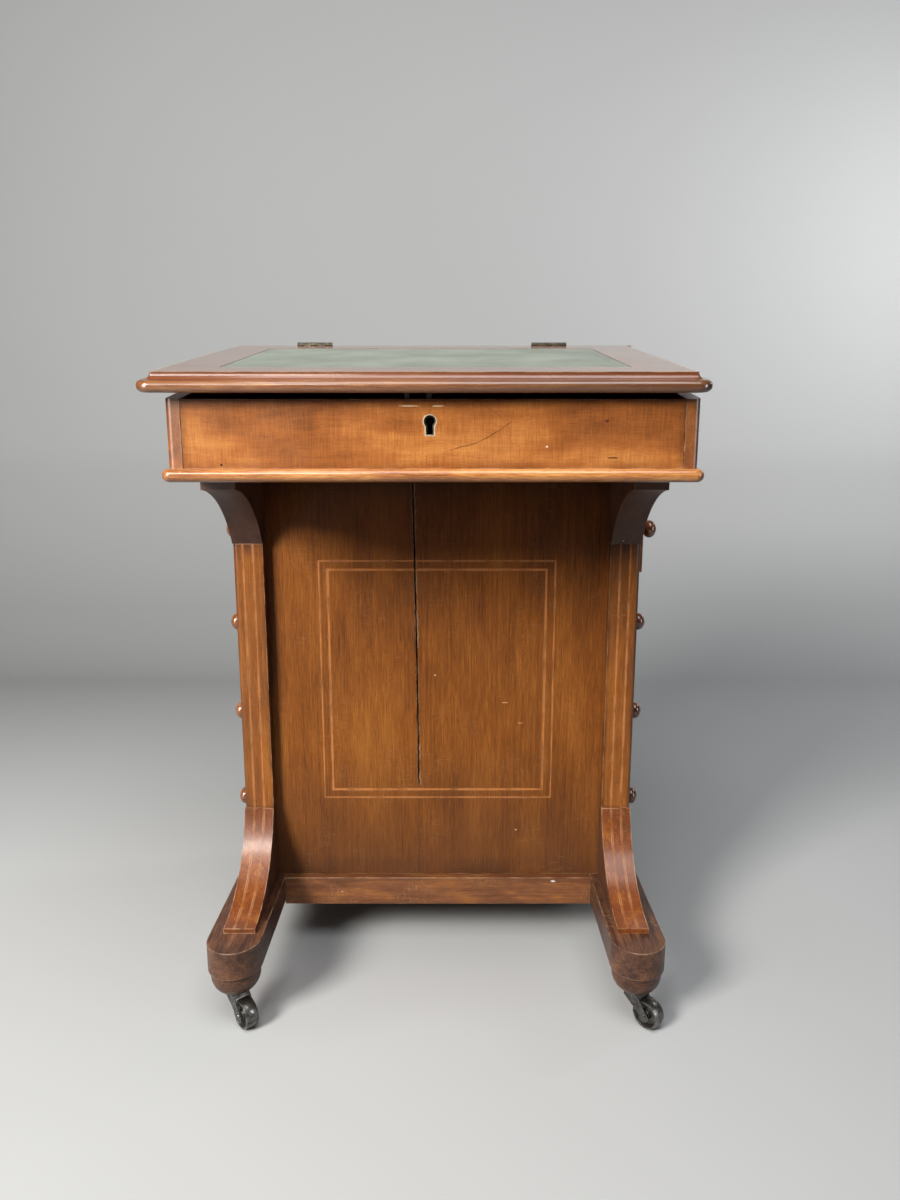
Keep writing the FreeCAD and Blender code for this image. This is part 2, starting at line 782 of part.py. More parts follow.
def make_nest():
    """Pigeonholes over two small drawers, at the back of the box under the ledge."""
    half_board = s.nest_board / 2
    pieces = [board("nest_shelf", -box_inner_half, box_inner_half, s.nest_face, box_inner_back,
                    nest_shelf, nest_shelf + s.nest_board)]
    for index in (-1, 0, 1):
        middle = box_inner_half / 2 * index
        pieces.append(board(f"nest_divider_{index + 2}", middle - half_board, middle + half_board,
                            s.nest_face, box_inner_back, nest_shelf + s.nest_board, ledge_under))
    pieces.append(board("nest_post", -half_board, half_board, s.nest_face, box_inner_back,
                        floor_top, nest_shelf))
    keep("pigeonhole_nest", *pieces)

    gap = s.drawer_gap
    low = floor_top + s.seat_gap
    high = nest_shelf - gap
    for side, name in ((LEFT, "small_drawer_left"), (RIGHT, "small_drawer_right")):
        x0, x1 = half_board + gap, box_inner_half - gap
        if side == LEFT:
            x0, x1 = -x1, -x0
        wall = s.small_wall
        back = box_inner_back - gap
        inner_front = s.nest_face + s.small_front
        pieces = [
            board(f"{name}_front", x0, x1, s.nest_face, inner_front, low, high),
            board(f"{name}_side_a", x0, x0 + wall, inner_front, back, low, high),
            board(f"{name}_side_b", x1 - wall, x1, inner_front, back, low, high),
            board(f"{name}_back", x0 + wall, x1 - wall, back - wall, back, low, high),
            board(f"{name}_floor", x0 + wall, x1 - wall, inner_front, back - wall, low, low + s.small_floor),
            knob(f"{name}_knob", (x0 + x1) / 2, s.nest_face, (low + high) / 2, (1, 0, 0), 90,
                 s.small_knob_radius, s.small_knob_neck, s.small_knob_length),
        ]
        keep(name, *pieces)


# ---------------------------------------------------------------- turned knobs

def knob(label, x, y, z, axis, angle, radius, neck, length):
    """A turned knob that stands along its own +Z: a waist that swells into a full, round head."""
    turned = body(label)
    collar = neck * 1.45
    waist = length * 0.34
    widest = length * 0.6
    crown = radius * 0.68
    shoulder = length * 0.9
    crown_rise = length - shoulder
    dome = (crown * crown + crown_rise * crown_rise) / (crown_rise * 2)
    outline = [
        (0, 0),
        (collar, 0, span(collar - neck, waist) * 1.1, -1),
        (neck, waist, span(radius - neck, widest - waist) * 0.75, 1),
        (radius, widest, span(radius - crown, shoulder - widest) * 0.9, 1),
        (crown, shoulder, dome, 1),
        (0, length),
    ]
    turn(turned, f"{label}_turning", outline)
    return place(turned, x, y, z, axis, angle)


# ---------------------------------------------------------------- pedestal

# the split's course: how far up it each point lies, then how much of its lean and its gape
# it has there
SPLIT_COURSE = (
    (0.03, 0.02, 0.62),
    (0.17, 0.00, 0.74),
    (0.33, 0.10, 0.68),
    (0.46, 0.22, 0.84),
    (0.60, 0.46, 0.78),
    (0.74, 0.62, 0.92),
    (0.87, 0.86, 0.86),
    (1.00, 1.00, 1.00),
)


def split_loop(grow):
    """The long uneven gap of the split, from its closed foot up past the top of the panel."""
    foot = s.plinth_top + s.split_rise
    rise = floor_under + grow - foot
    right = []
    left = []
    for up, lean, gape in SPLIT_COURSE:
        middle = s.split_x - s.split_lean * lean
        right.append((middle + s.split_gape / 2 * gape, foot + rise * up))
        left.append((middle - s.split_gape / 2 * gape, foot + rise * up))
    return [(s.split_x, foot)] + right + left[::-1]


def line_frames():
    """The two inlaid rectangles of the front panel, each as an outer and an inner outline."""
    loops = []
    for step, wide in ((0, s.outer_line), (s.line_frame_step, s.inner_line)):
        half = s.line_frame_width / 2 - step
        low = s.plinth_top + s.line_frame_rise + step
        high = floor_under - s.line_frame_drop - step
        loops.append(rectangle(-half, half, low, high))
        loops.append(rectangle(-half + wide, half - wide, low + wide, high - wide))
    return loops


def make_pedestal():
    panel = body("front_panel")
    pad(panel, "panel_board", "XZ", [rectangle(-post_inner, post_inner, s.plinth_top, floor_under)],
        s.panel_face, panel_back)
    line_back = s.panel_face + s.line_depth
    pocket(panel, "line_grooves", "XZ", line_frames(), s.panel_face, line_back)
    pocket(panel, "split", "XZ", [split_loop(CUT)], s.panel_face, panel_back)
    keep("front_panel", panel)

    lines = body("panel_stringing")
    pad(lines, "inlaid_frames", "XZ", line_frames(), s.panel_face, line_back)
    pocket(lines, "line_split", "XZ", [split_loop(CUT)], s.panel_face, line_back)
    keep("panel_stringing", lines)

    posts = []
    for side in (LEFT, RIGHT):
        inner, outer = post_inner * side, pedestal_half * side
        x0, x1 = sorted((inner, outer), key=lambda size: size.number)
        for y0, y1, place_name in ((s.panel_face, front_post_back, "front"),
                                   (rear_post_front, pedestal_back, "back")):
            posts.append(board(f"post_{place_name}_{side + 2}", x0, x1, y0, y1, s.plinth_top, floor_under))
    keep("corner_posts", *posts)

    keep("back_panel", board("back_panel", -post_inner, post_inner, back_panel_in, back_panel_out,
                             s.plinth_top, floor_under))
    dust_top = s.plinth_top + s.dust_board
    keep("carcase_linings",
         board("left_lining", -post_inner, -lining_in, panel_back, back_panel_in, dust_top, floor_under),
         board("dust_board", -post_inner, post_inner, panel_back, back_panel_in, s.plinth_top, dust_top))

    rails = []
    for side in (LEFT, RIGHT):
        x0, x1 = sorted((post_inner * side, pedestal_half * side), key=lambda size: size.number)
        levels = [(s.plinth_top, openings[3])]
        levels += [(openings[i] + s.opening_height, openings[i - 1]) for i in (3, 2, 1)]
        levels.append((openings[0] + s.opening_height, floor_under))
        for index, (low, high) in enumerate(levels, start=1):
            rails.append(board(f"rail_{side + 2}_{index}", x0, x1, front_post_back, rear_post_front,
                               low, high))
    keep("drawer_rails", *rails)

    keep("base_rails",
         board("base_rail_front", -foot_inner, foot_inner, s.panel_face - s.plinth_proud,
               s.panel_face - s.plinth_proud + s.plinth_thick, s.plinth_under, s.plinth_top),
         board("base_rail_back", -foot_inner, foot_inner, pedestal_back - s.plinth_thick,
               pedestal_back, s.plinth_under, s.plinth_top))

    runners = []
    for index, low in enumerate(openings, start=1):
        for side, wall, post_face in ((-1, panel_back, front_post_back), (1, back_panel_in, rear_post_front)):
            lip = wall - s.runner_width * side
            section = [
                (wall, low - s.runner_thick),
                (lip, low - s.runner_thick),
                (lip, low),
                (post_face, low),
                (post_face, low + s.guide_height),
                (wall, low + s.guide_height),
            ]
            runner = body(f"runner_{index}_{side + 2}")
            pad(runner, f"runner_{index}_{side + 2}_pad", "YZ", [section], -lining_in, post_inner)
            runners.append(runner)
    keep("drawer_runners", *runners)


def knob_pair(name, face, side, middle_up):
    """Two knobs side by side on a drawer front that faces left or right."""
    pair = []
    for index, along in enumerate((-1, 1), start=1):
        y = drawer_middle + s.knob_spread / 2 * along
        pair.append(knob(f"{name}_{index}", face, y, middle_up, (0, 1, 0), 90.0 * side,
                         s.knob_radius, s.knob_neck, s.knob_length))
    return pair


def make_drawers():
    gap = s.drawer_gap
    y0 = front_post_back + gap
    y1 = rear_post_front - gap
    dummy_fronts = []
    dummy_knobs = []
    for index, low in enumerate(openings, start=1):
        out = s.top_drawer_out if index == 1 else sized(0)
        face = pedestal_half + s.drawer_proud + out
        front_back = face - s.drawer_front
        front_low = low + gap
        front_high = low + s.opening_height - gap
        front = board(f"front_{index}", front_back, face, y0, y1, front_low, front_high)
        keep(f"drawer_{index}_front", front)
        middle_up = low + s.opening_height / 2
        keep(f"drawer_{index}_knobs", *knob_pair(f"knob_{index}", face, RIGHT, middle_up))

        side_low = low + s.seat_gap
        side_high = side_low + s.drawer_side_height
        back = out - lining_in + s.drawer_back_gap
        wall = s.drawer_side
        floor_low = side_low + s.drawer_floor_up
        keep(f"drawer_{index}_box",
             board(f"side_{index}_a", back, front_back, y0, y0 + wall, side_low, side_high),
             board(f"side_{index}_b", back, front_back, y1 - wall, y1, side_low, side_high),
             board(f"back_{index}", back, back + wall, y0 + wall, y1 - wall, floor_low, side_high),
             board(f"floor_{index}", back + wall, front_back, y0 + wall, y1 - wall,
                   floor_low, floor_low + s.drawer_floor))

        dummy_face = -(pedestal_half + s.drawer_proud)
        dummy_fronts.append(board(f"dummy_front_{index}", dummy_face, -post_inner, y0, y1,
                                  front_low, front_high))
        dummy_knobs += knob_pair(f"dummy_knob_{index}", dummy_face, LEFT, middle_up)
    keep("dummy_fronts", *dummy_fronts)
    keep("dummy_knobs", *dummy_knobs)


# ---------------------------------------------------------------- pilasters, brackets, legs, feet

foot_middle = pilaster_middle + s.foot_splay
foot_inner = foot_middle - s.foot_width / 2
foot_rear = pedestal_back + s.foot_rear_proud
strip_toe = s.foot_front + s.toe_set_back
strip_top_front = pilaster_front - s.strip_proud


def sides():
    """Left and right, with the two X levels between which a front member lies."""
    for side, name in ((LEFT, "left"), (RIGHT, "right")):
        x0, x1 = sorted((pilaster_inner * side, pedestal_half * side), key=lambda size: size.number)
        yield side, name, x0, x1


def line_levels(side):
    """The two inlaid lines of a pilaster or leg strip, at a third and two thirds of its face."""
    for share in (1, 2):
        middle = (pilaster_inner + s.pilaster_width / 3 * share) * side
        yield share, middle - s.outer_line / 2, middle + s.outer_line / 2


def strip_curve(depth):
    """The strip's hollow face from its head to its toe, sunk by a depth. It runs out level."""
    head = strip_top_front + depth
    foot = s.plinth_top + s.strip_thick - depth
    run = head - strip_toe
    drop = pilaster_low - foot
    hollow = (run * run + drop * drop) / (drop * 2)
    return [(head, pilaster_low, hollow, -1), (strip_toe, foot)]


def make_front_members():
    stringing = []
    strips = []
    for side, name, x0, x1 in sides():
        outer = pedestal_half * side
        line_back = pilaster_front + s.line_depth
        pilaster = body(f"pilaster_{name}")
        pad(pilaster, f"pilaster_{name}_board", "XY", [rectangle(x0, x1, pilaster_front, s.panel_face)],
            pilaster_low, pilaster_high)
        round_over(pilaster, f"pilaster_{name}_arris", s.pilaster_round,
                   lambda edge: lies_at(edge, X=outer, Y=pilaster_front))
        for share, low, high in line_levels(side):
            groove = rectangle(low, high, pilaster_front, line_back)
            pocket(pilaster, f"pilaster_{name}_groove_{share}", "XY", [groove], pilaster_low, pilaster_high)
            stringing.append(board(f"pilaster_line_{name}_{share}", low, high, pilaster_front, line_back,
                                   pilaster_low, pilaster_high))
        keep(f"pilaster_{name}", pilaster)

        bracket = body(f"bracket_{name}")
        tip = pilaster_front - s.bracket_reach
        section = [
            (s.panel_face, pilaster_high),
            (s.panel_face, floor_under),
            (tip, floor_under),
            (tip, floor_under - s.bracket_nose, s.bracket_curve, -1),
            (pilaster_front, pilaster_high),
        ]
        pad(bracket, f"bracket_{name}_sawn", "YZ", [section], x0, x1)
        keep(f"bracket_{name}", bracket)

        leg = body(f"leg_{name}")
        section = [(s.panel_face, pilaster_low)] + strip_curve(s.strip_thick) + [(s.panel_face, s.plinth_top)]
        pad(leg, f"leg_{name}_sawn", "YZ", [section], x0, x1)
        keep(f"leg_{name}", leg)

        strip = body(f"leg_strip_{name}")
        back_curve = strip_curve(s.strip_thick)
        pad(strip, f"strip_{name}_bent", "YZ", [band(strip_curve(0), back_curve)], x0, x1)
        for share, low, high in line_levels(side):
            section = band(strip_curve(0), strip_curve(s.line_depth))
            pocket(strip, f"strip_{name}_groove_{share}", "YZ", [section], low, high)
            line = body(f"strip_line_{name}_{share}")
            pad(line, f"strip_line_{name}_{share}_bent", "YZ", [section], low, high)
            stringing.append(line)
        strips.append(strip)

        foot = body(f"foot_runner_{name}")
        middle = foot_middle * side
        half = s.foot_width / 2
        front, rear = s.foot_front, foot_rear
        plan = [
            (middle - half, front + half, half, 1),
            (middle, front, half, 1),
            (middle + half, front + half),
            (middle + half, rear - half, half, 1),
            (middle, rear, half, 1),
            (middle - half, rear - half),
        ]
        pad(foot, f"foot_{name}_board", "XY", [plan], s.foot_under, s.plinth_top)
        keep(f"foot_runner_{name}", foot)
    keep("leg_strips", *strips)
    keep("pilaster_stringing", *stringing)


def band(face, back):
    """A closed band between a hollow face and a curve sunk behind it."""
    head, toe = face
    back_head, back_toe = back
    return [head, toe, (back_toe[0], back_toe[1], back_head[2], 1), (back_head[0], back_head[1])]


# ---------------------------------------------------------------- pads and castors

def make_castors():
    pads = []
    plates = []
    stem_hole = s.stem_radius + s.running_gap
    stem_top = s.pad_under + s.stem_length
    plate_under = s.pad_under - s.plate_thick
    crown_top = plate_under - s.seat_gap
    crown_low = crown_top - s.crown_thick
    cheek_out = s.wheel_width / 2 + s.wheel_gap + s.cheek_thick
    front_y_middle = s.foot_front + s.foot_width / 2
    rear_y_middle = foot_rear - s.foot_width / 2
    corners = (
        ("front_left", LEFT, front_y_middle, s.castor_turn),
        ("front_right", RIGHT, front_y_middle, s.castor_turn),
        ("back_left", LEFT, rear_y_middle, s.back_left_turn),
        ("back_right", RIGHT, rear_y_middle, s.back_right_turn),
    )
    for name, side, y, angle in corners:
        x = foot_middle * side
        turned = body(f"pad_{name}")
        outline = [
            (stem_hole, s.pad_under),
            (s.pad_neck, s.pad_under, s.pad_bowl, 1),
            (s.pad_radius, s.foot_under - s.pad_rim),
            (s.pad_radius, s.foot_under),
            (0, s.foot_under),
            (0, stem_top + s.seat_gap),
            (stem_hole, stem_top + s.seat_gap),
        ]
        turn(turned, f"pad_{name}_turning", outline)
        pads.append(place(turned, x, y, 0))
        plate = body(f"plate_{name}")
        plate_outline = rectangle(stem_hole, s.plate_radius, plate_under, s.pad_under)
        turn(plate, f"plate_{name}_turning", plate_outline)
        plates.append(place(plate, x, y, 0))

        fork = body(f"fork_{name}")
        axle_y = -s.castor_trail
        axle_z = s.wheel_radius
        reach = s.cheek_radius
        cheek = [
            (s.crown_radius, crown_top),
            (-s.crown_radius, crown_top),
            (axle_y - reach, axle_z, reach, 1),
            (axle_y, axle_z - reach, reach, 1),
            (axle_y + reach, axle_z),
            (s.crown_radius, crown_low),
        ]
        pad(fork, f"cheeks_{name}", "YZ", [cheek], -cheek_out, cheek_out)
        slot = rectangle(axle_y - reach - CUT, s.crown_radius + CUT, -CUT, crown_low)
        cheek_in = cheek_out - s.cheek_thick
        pocket(fork, f"wheel_slot_{name}", "YZ", [slot], -cheek_in, cheek_in)
        sweep = circle_loop(axle_y, axle_z, s.wheel_radius + s.wheel_gap)
        pocket(fork, f"wheel_sweep_{name}", "YZ", [sweep], -cheek_in, cheek_in)
        hole = s.axle_radius + s.running_gap
        pocket(fork, f"axle_hole_{name}", "YZ", [circle_loop(axle_y, axle_z, hole)], -cheek_out, cheek_out)
        pad(fork, f"crown_{name}", "XY", [circle_loop(0, 0, s.crown_radius)], crown_low, crown_top)
        pad(fork, f"stem_{name}", "XY", [circle_loop(0, 0, s.stem_radius)], crown_top, stem_top)
        place(fork, x, y, 0, (0, 0, 1), angle)

        axle = body(f"axle_{name}")
        head_out = cheek_out + s.axle_head
        head_top = s.axle_head_radius - s.axle_head_round
        rivet = [
            (-head_out, 0),
            (head_out, 0),
            (head_out, head_top),
            (cheek_out, s.axle_head_radius),
            (cheek_out, s.axle_radius),
            (-cheek_out, s.axle_radius),
            (-cheek_out, s.axle_head_radius),
            (-head_out, head_top),
        ]
        turn(axle, f"axle_{name}_turning", rivet, "H_Axis")
        axle_x_row = x + s.castor_trail * sine(angle)
        axle_y_row = y - s.castor_trail * cosine(angle)
        place(axle, axle_x_row, axle_y_row, axle_z, (0, 0, 1), angle)
        keep(f"castor_fork_{name}", fork, axle)

        wheel = body(f"castor_wheel_{name}")
        section = wheel_section(hole)
        turn(wheel, f"wheel_{name}_turning", section, "H_Axis")
        keep(f"castor_wheel_{name}", place(wheel, axle_x_row, axle_y_row, axle_z, (0, 0, 1), angle))
    keep("turned_pads", *pads)
    keep("castor_plates", *plates)


def wheel_section(bore):
    """Half the section of a cupped wheel: a hub and a thin web inside a wide crowned tread."""
    half = s.wheel_width / 2
    hub_half = s.hub_width / 2
    web_half = s.wheel_web / 2
    hub_foot = s.hub_radius + s.hub_flare
    edge = s.wheel_radius - s.wheel_crown
    rim_in = edge - s.wheel_rim
    dish_edge = rim_in - s.wheel_flare
    tread = (half * half + s.wheel_crown * s.wheel_crown) / (s.wheel_crown * 2)
    return [
        (-hub_half, bore),
        (hub_half, bore),
        (hub_half, s.hub_radius),
        (web_half, hub_foot),
        (web_half, dish_edge),
        (half, rim_in),
        (half, edge, tread, 1),
        (-half, edge),
        (-half, rim_in),
        (-web_half, dish_edge),
        (-web_half, hub_foot),
        (-hub_half, s.hub_radius),
    ]


def circle_loop(x, y, radius):
    """A full circle as four quarter arcs."""
    x, y = sized(x), sized(y)
    return [
        (x + radius, y, radius, 1),
        (x, y + radius, radius, 1),
        (x - radius, y, radius, 1),
        (x, y - radius, radius, 1),
    ]


# ---------------------------------------------------------------- build, test and write

make_writing_box()
make_ledge()
make_hinges()
make_lid()
make_nest()
make_pedestal()
make_drawers()
make_front_members()
make_castors()
document.recompute()

for thing in document.Objects:
    if "Invalid" in thing.State or "Error" in thing.State:
        raise ValueError(f"{thing.Label} failed: {thing.State}")

os.makedirs("parts", exist_ok=True)
for label, thing in nodes.items():
    shape = thing.Shape
    if shape.isNull() or not shape.isValid() or not shape.Solids:
        raise ValueError(f"{label} has no valid solid")
    shape.exportStep(f"parts/{label}.step")
print(len(nodes), "nodes,", sum(len(thing.Shape.Solids) for thing in nodes.values()), "solids")
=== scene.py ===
import json
import math
import random

import bmesh
import bpy
import numpy as np
from bpy.props import FloatProperty, FloatVectorProperty, IntProperty, PointerProperty
from mathutils import Matrix, Vector, noise

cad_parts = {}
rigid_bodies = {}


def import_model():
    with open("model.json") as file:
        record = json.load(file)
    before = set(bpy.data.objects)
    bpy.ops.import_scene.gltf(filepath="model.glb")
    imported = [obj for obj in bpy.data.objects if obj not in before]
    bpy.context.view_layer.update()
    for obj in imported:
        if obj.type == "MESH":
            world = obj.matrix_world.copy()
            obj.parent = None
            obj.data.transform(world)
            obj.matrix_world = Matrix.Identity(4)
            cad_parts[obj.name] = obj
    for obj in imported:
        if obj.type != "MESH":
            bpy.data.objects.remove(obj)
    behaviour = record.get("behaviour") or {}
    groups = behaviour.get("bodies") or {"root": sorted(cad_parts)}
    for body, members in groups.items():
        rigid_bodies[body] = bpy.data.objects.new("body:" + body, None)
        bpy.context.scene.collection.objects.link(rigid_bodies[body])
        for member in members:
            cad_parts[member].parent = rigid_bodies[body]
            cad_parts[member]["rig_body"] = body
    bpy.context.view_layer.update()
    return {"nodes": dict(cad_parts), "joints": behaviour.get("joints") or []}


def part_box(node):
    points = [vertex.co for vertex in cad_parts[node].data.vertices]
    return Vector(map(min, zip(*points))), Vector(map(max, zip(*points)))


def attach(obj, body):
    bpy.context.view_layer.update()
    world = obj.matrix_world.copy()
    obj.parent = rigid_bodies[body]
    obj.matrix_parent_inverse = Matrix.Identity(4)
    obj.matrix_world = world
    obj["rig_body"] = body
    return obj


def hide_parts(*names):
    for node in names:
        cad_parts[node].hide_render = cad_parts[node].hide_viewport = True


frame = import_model()

bl_info = {
    "name": "Davenport desk",
    "version": (1, 0, 0),
    "blender": (4, 5, 0),
    "location": "View3D > Sidebar > Davenport",
    "description": "Finishes the pieces of a davenport desk and stands it on a pale studio floor",
    "category": "Object",
}

MM = 0.001
CORNERS = ("front_left", "front_right", "back_left", "back_right")
SIDES = ("left", "right")
BODY_OF = {name: piece["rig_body"] for name, piece in frame["nodes"].items()}
JOINT_AT = {joint["name"]: joint.get("pos_m") for joint in frame["joints"]}


def linear(code):
    """An sRGB hex colour as the three linear values that a shader wants."""
    shares = [int(code[i:i + 2], 16) / 255 for i in (0, 2, 4)]
    return tuple(v / 12.92 if v <= 0.04045 else ((v + 0.055) / 1.055) ** 2.4 for v in shares)


# ---------------------------------------------------------------- sizes and colours

def length(name, description, millimetres):
    """A size that a user may change, given in millimetres."""
    return FloatProperty(name=name, description=description, default=millimetres * MM, unit="LENGTH")


def colour(name, description, code):
    """A colour that a user may change, given as an sRGB hex value."""
    return FloatVectorProperty(name=name, description=description, default=linear(code), subtype="COLOR")


class DavenportSizes(bpy.types.PropertyGroup):
    """Sizes of the finish and the small fittings."""

    arris: length("Arris", "Width of the eased edge of a board", 0.9)
    worn_arris: length("Worn arris", "Width of the eased edge of the feet", 1.6)
    wear_reach: length("Wear reach", "How far from an edge the polish is rubbed through", 2.2)
    screw_head: length("Screw head", "Radius of a countersunk screw head", 2.1)
    screw_slot: length("Screw slot", "Width of the slot in a screw head", 0.7)
    tail_pitch: length("Dovetail pitch", "Height from one drawer dovetail to the next", 24.0)
    tail_length: length("Dovetail length", "How far a drawer side is let into the front", 12.0)
    tails: IntProperty(name="Dovetails", description="Number of dovetails in one drawer corner", default=4)


class DavenportColours(bpy.types.PropertyGroup):
    """Colours of the finishes."""

    veneer_light: colour("Veneer, light", "Lightest streaks of the figured veneer", "D08C49")
    veneer_mid: colour("Veneer, middle", "Middle tone of the figured veneer", "A9642F")
    veneer_dark: colour("Veneer, dark", "Darkest streaks of the figured veneer", "824A22")
    panel_light: colour("Panel, light", "Lightest streaks of the front panel", "AA6B2E")
    panel_mid: colour("Panel, middle", "Middle tone of the front panel", "8B501F")
    panel_dark: colour("Panel, dark", "Darkest streaks of the front panel", "633819")
    solid_light: colour("Solid wood, light", "Lightest streaks of the solid boards", "AC7848")
    solid_mid: colour("Solid wood, middle", "Middle tone of the solid boards", "85502D")
    solid_dark: colour("Solid wood, dark", "Darkest streaks of the solid boards", "57301A")
    pilaster_light: colour("Pilasters, light", "Lightest streaks of the pilasters", "B5722E")
    pilaster_mid: colour("Pilasters, middle", "Middle tone of the pilasters", "91541F")
    pilaster_dark: colour("Pilasters, dark", "Darkest streaks of the pilasters", "633819")
    strip_mid: colour("Leg strips", "Middle tone of the strips on the legs", "7E411E")
    rail_mid: colour("Base rail", "Middle tone of the base rail", "845232")
    moulding_light: colour("Moulding, light", "Lightest streaks of the moulding under the box", "DCA05C")
    moulding_mid: colour("Moulding, middle", "Middle tone of the moulding under the box", "BE7B40")
    moulding_dark: colour("Moulding, dark", "Darkest streaks of the moulding under the box", "8E5126")
    foot_light: colour("Feet, light", "Lightest streaks of the feet", "8A5E42")
    foot_mid: colour("Feet, middle", "Middle tone of the feet", "63402E")
    foot_dark: colour("Feet, dark", "Darkest streaks of the feet", "38211A")
    bracket_mid: colour("Brackets", "Middle tone of the brackets", "573626")
    knob_mid: colour("Knobs", "Middle tone of the turned knobs", "8E4E28")
    worn_wood: colour("Worn wood", "Bare wood where the polish is rubbed through", "D9B08A")
    deal: colour("Deal", "Unpolished wood inside the drawers", "B98B57")
    boxwood: colour("Boxwood", "The inlaid lines", "BF7434")
    brass: colour("Brass", "Bare brass", "5E5646")
    tarnish: colour("Tarnish", "Grey-brown tarnish on brass", "423D36")
    liner: colour("Keyhole liner", "Rubbed brass round the keyhole", "C4B59C")
    iron: colour("Iron", "Castor metal", "706D69")
    leather: colour("Leather", "The writing surface", "6B7568")
    leather_rubbed: colour("Leather, rubbed", "The writing surface where it is rubbed", "878F82")
    floor: colour("Floor", "The studio floor and backdrop", "BABCBD")


def sizes():
    """The sizes as they are set in the scene."""
    return bpy.context.scene.davenport_sizes


def colours():
    """The colours as they are set in the scene."""
    return bpy.context.scene.davenport_colours


# ---------------------------------------------------------------- nodes

MATH, VECTOR, MIX, RANGE = "ShaderNodeMath", "ShaderNodeVectorMath", "ShaderNodeMix", "ShaderNodeMapRange"
NOISE, PLACE, SPLIT = "ShaderNodeTexNoise", "ShaderNodeTexCoord", "ShaderNodeSeparateXYZ"


def add(tree, kind, *values, named=None, stops=(), out="", **settings):
    """Adds a node. Its settings come first, because they decide which sockets are in use. Each value or
    link then goes to the next input in use, or to the one named. Hands back its first output in use, or
    the one asked for, or all of them."""
    made = tree.nodes.new(kind)
    for name, value in settings.items():
        setattr(made, name, value)
    in_use = [slot for slot in made.inputs if slot.enabled]
    given = list(zip(in_use, values)) + [(made.inputs[name], value) for name, value in (named or {}).items()]
    for slot, value in given:
        if isinstance(value, bpy.types.NodeSocket):
            tree.links.new(value, slot)
        elif slot.type == "RGBA" and len(value) == 3:
            slot.default_value = (*value, 1.0)
        else:
            slot.default_value = value
    for index, (position, tone) in enumerate(stops):
        ramp = made.color_ramp.elements
        element = ramp[index] if index < len(ramp) else ramp.new(position)
        element.position = position
        element.color = (*tone, 1.0)
    if out:
        return made.outputs if out == "all" else made.outputs[out]
    return next((slot for slot in made.outputs if slot.enabled), None)


def new_material(name):
    """A material with its tree and its shader."""
    material = bpy.data.materials.new(name)
    material.use_nodes = True
    return material, material.node_tree, material.node_tree.nodes["Principled BSDF"]


made_materials = {}


def finish(maker):
    """The material that a function makes, made once."""
    if maker.__name__ not in made_materials:
        made_materials[maker.__name__] = maker()
    return made_materials[maker.__name__]


def shaded(tone, share):
    """A colour brought down or up by a share of its strength."""
    return tuple(min(v * share, 1.0) for v in tone)


def overlaid(tree, tone, layers):
    """Lays colours over a tone, one after the other. A layer is its cover, its strength and its colour."""
    for cover, strength, colour_over in layers:
        share = add(tree, MATH, cover, strength, operation="MULTIPLY")
        tone = add(tree, MIX, share, tone, colour_over, data_type="RGBA")
    return tone


def worn_edges(tree, reach, full=0.87):
    """1 on a sharp edge, 0 on a flat: what hands and feet rub first."""
    flat = add(tree, "ShaderNodeNewGeometry", out="Normal")
    eased = add(tree, "ShaderNodeBevel", reach, samples=4)
    agree = add(tree, VECTOR, flat, eased, operation="DOT_PRODUCT")
    return add(tree, RANGE, agree, 0.985, full)


def patches(tree, vector, size, low=0.42, high=0.62, detail=4.0):
    """Uneven patches of a given size."""
    return add(tree, RANGE, add(tree, NOISE, vector, 1 / size, detail), low, high)


def grain_noise(tree, vector, along, across, detail=3.0):
    """A noise drawn out along the grain. The two sizes are real ones in metres."""
    drawn = add(tree, VECTOR, vector, (1 / along, 1 / across, 1 / across), operation="MULTIPLY")
    return add(tree, NOISE, drawn, 1.0, detail, 0.6)


def scratches(tree, vector, run=0.016, wide=0.0006):
    """Short straight scratches in three directions. Real ones are finer; these are wide enough to show."""
    marks = 0.0
    for angle, limit in ((1.45, 0.745), (1.75, 0.755), (0.7, 0.77)):
        turned = add(tree, "ShaderNodeVectorRotate", named={"Vector": vector, "Angle": angle},
                     rotation_type="Z_AXIS")
        mark = add(tree, RANGE, grain_noise(tree, turned, run, wide, 0.0), limit, limit + 0.03)
        marks = add(tree, MATH, marks, mark, operation="MAXIMUM")
    return marks


def edge_distance(tree, place, reach, open_side=0.0):
    """How far a point of a board's face lies from the board's nearest long or short edge. With an open side
    of 1 or -1, the long edge on that side across the board doesn't count."""
    inset = add(tree, VECTOR, reach, add(tree, VECTOR, place, operation="ABSOLUTE"), operation="SUBTRACT")
    ends = add(tree, SPLIT, inset, out="all")
    if not open_side:
        return add(tree, MATH, ends[0], ends[1], operation="MINIMUM")
    across = add(tree, SPLIT, place, out="all")[1]
    half = add(tree, SPLIT, reach, out="all")[1]
    side = add(tree, MATH, across, -open_side, half, operation="MULTIPLY_ADD")
    side = add(tree, MATH, add(tree, MATH, half, 2.0, operation="MULTIPLY"), side, operation="SUBTRACT")
    return add(tree, MATH, ends[0], side, operation="MINIMUM")


def mark_at(tree, x, z, half_wide, half_tall):
    """1 on a small ragged mark seen from the front, 0 outside it."""
    here = add(tree, PLACE, out="Object")
    away = add(tree, VECTOR, here, (x, 0.0, z), operation="SUBTRACT")
    away = add(tree, VECTOR, away, (1 / half_wide, 0.0, 1 / half_tall), operation="MULTIPLY")
    ragged = add(tree, RANGE, add(tree, NOISE, here, 1 / (1.6 * MM), 2.0), 0.0, 1.0, -0.6, 0.6)
    away = add(tree, MATH, add(tree, VECTOR, away, operation="LENGTH"), ragged, operation="ADD")
    return add(tree, RANGE, away, 1.0, 0.7)


CHIP_CELL = 0.045               # one small pale chip at most in each such square


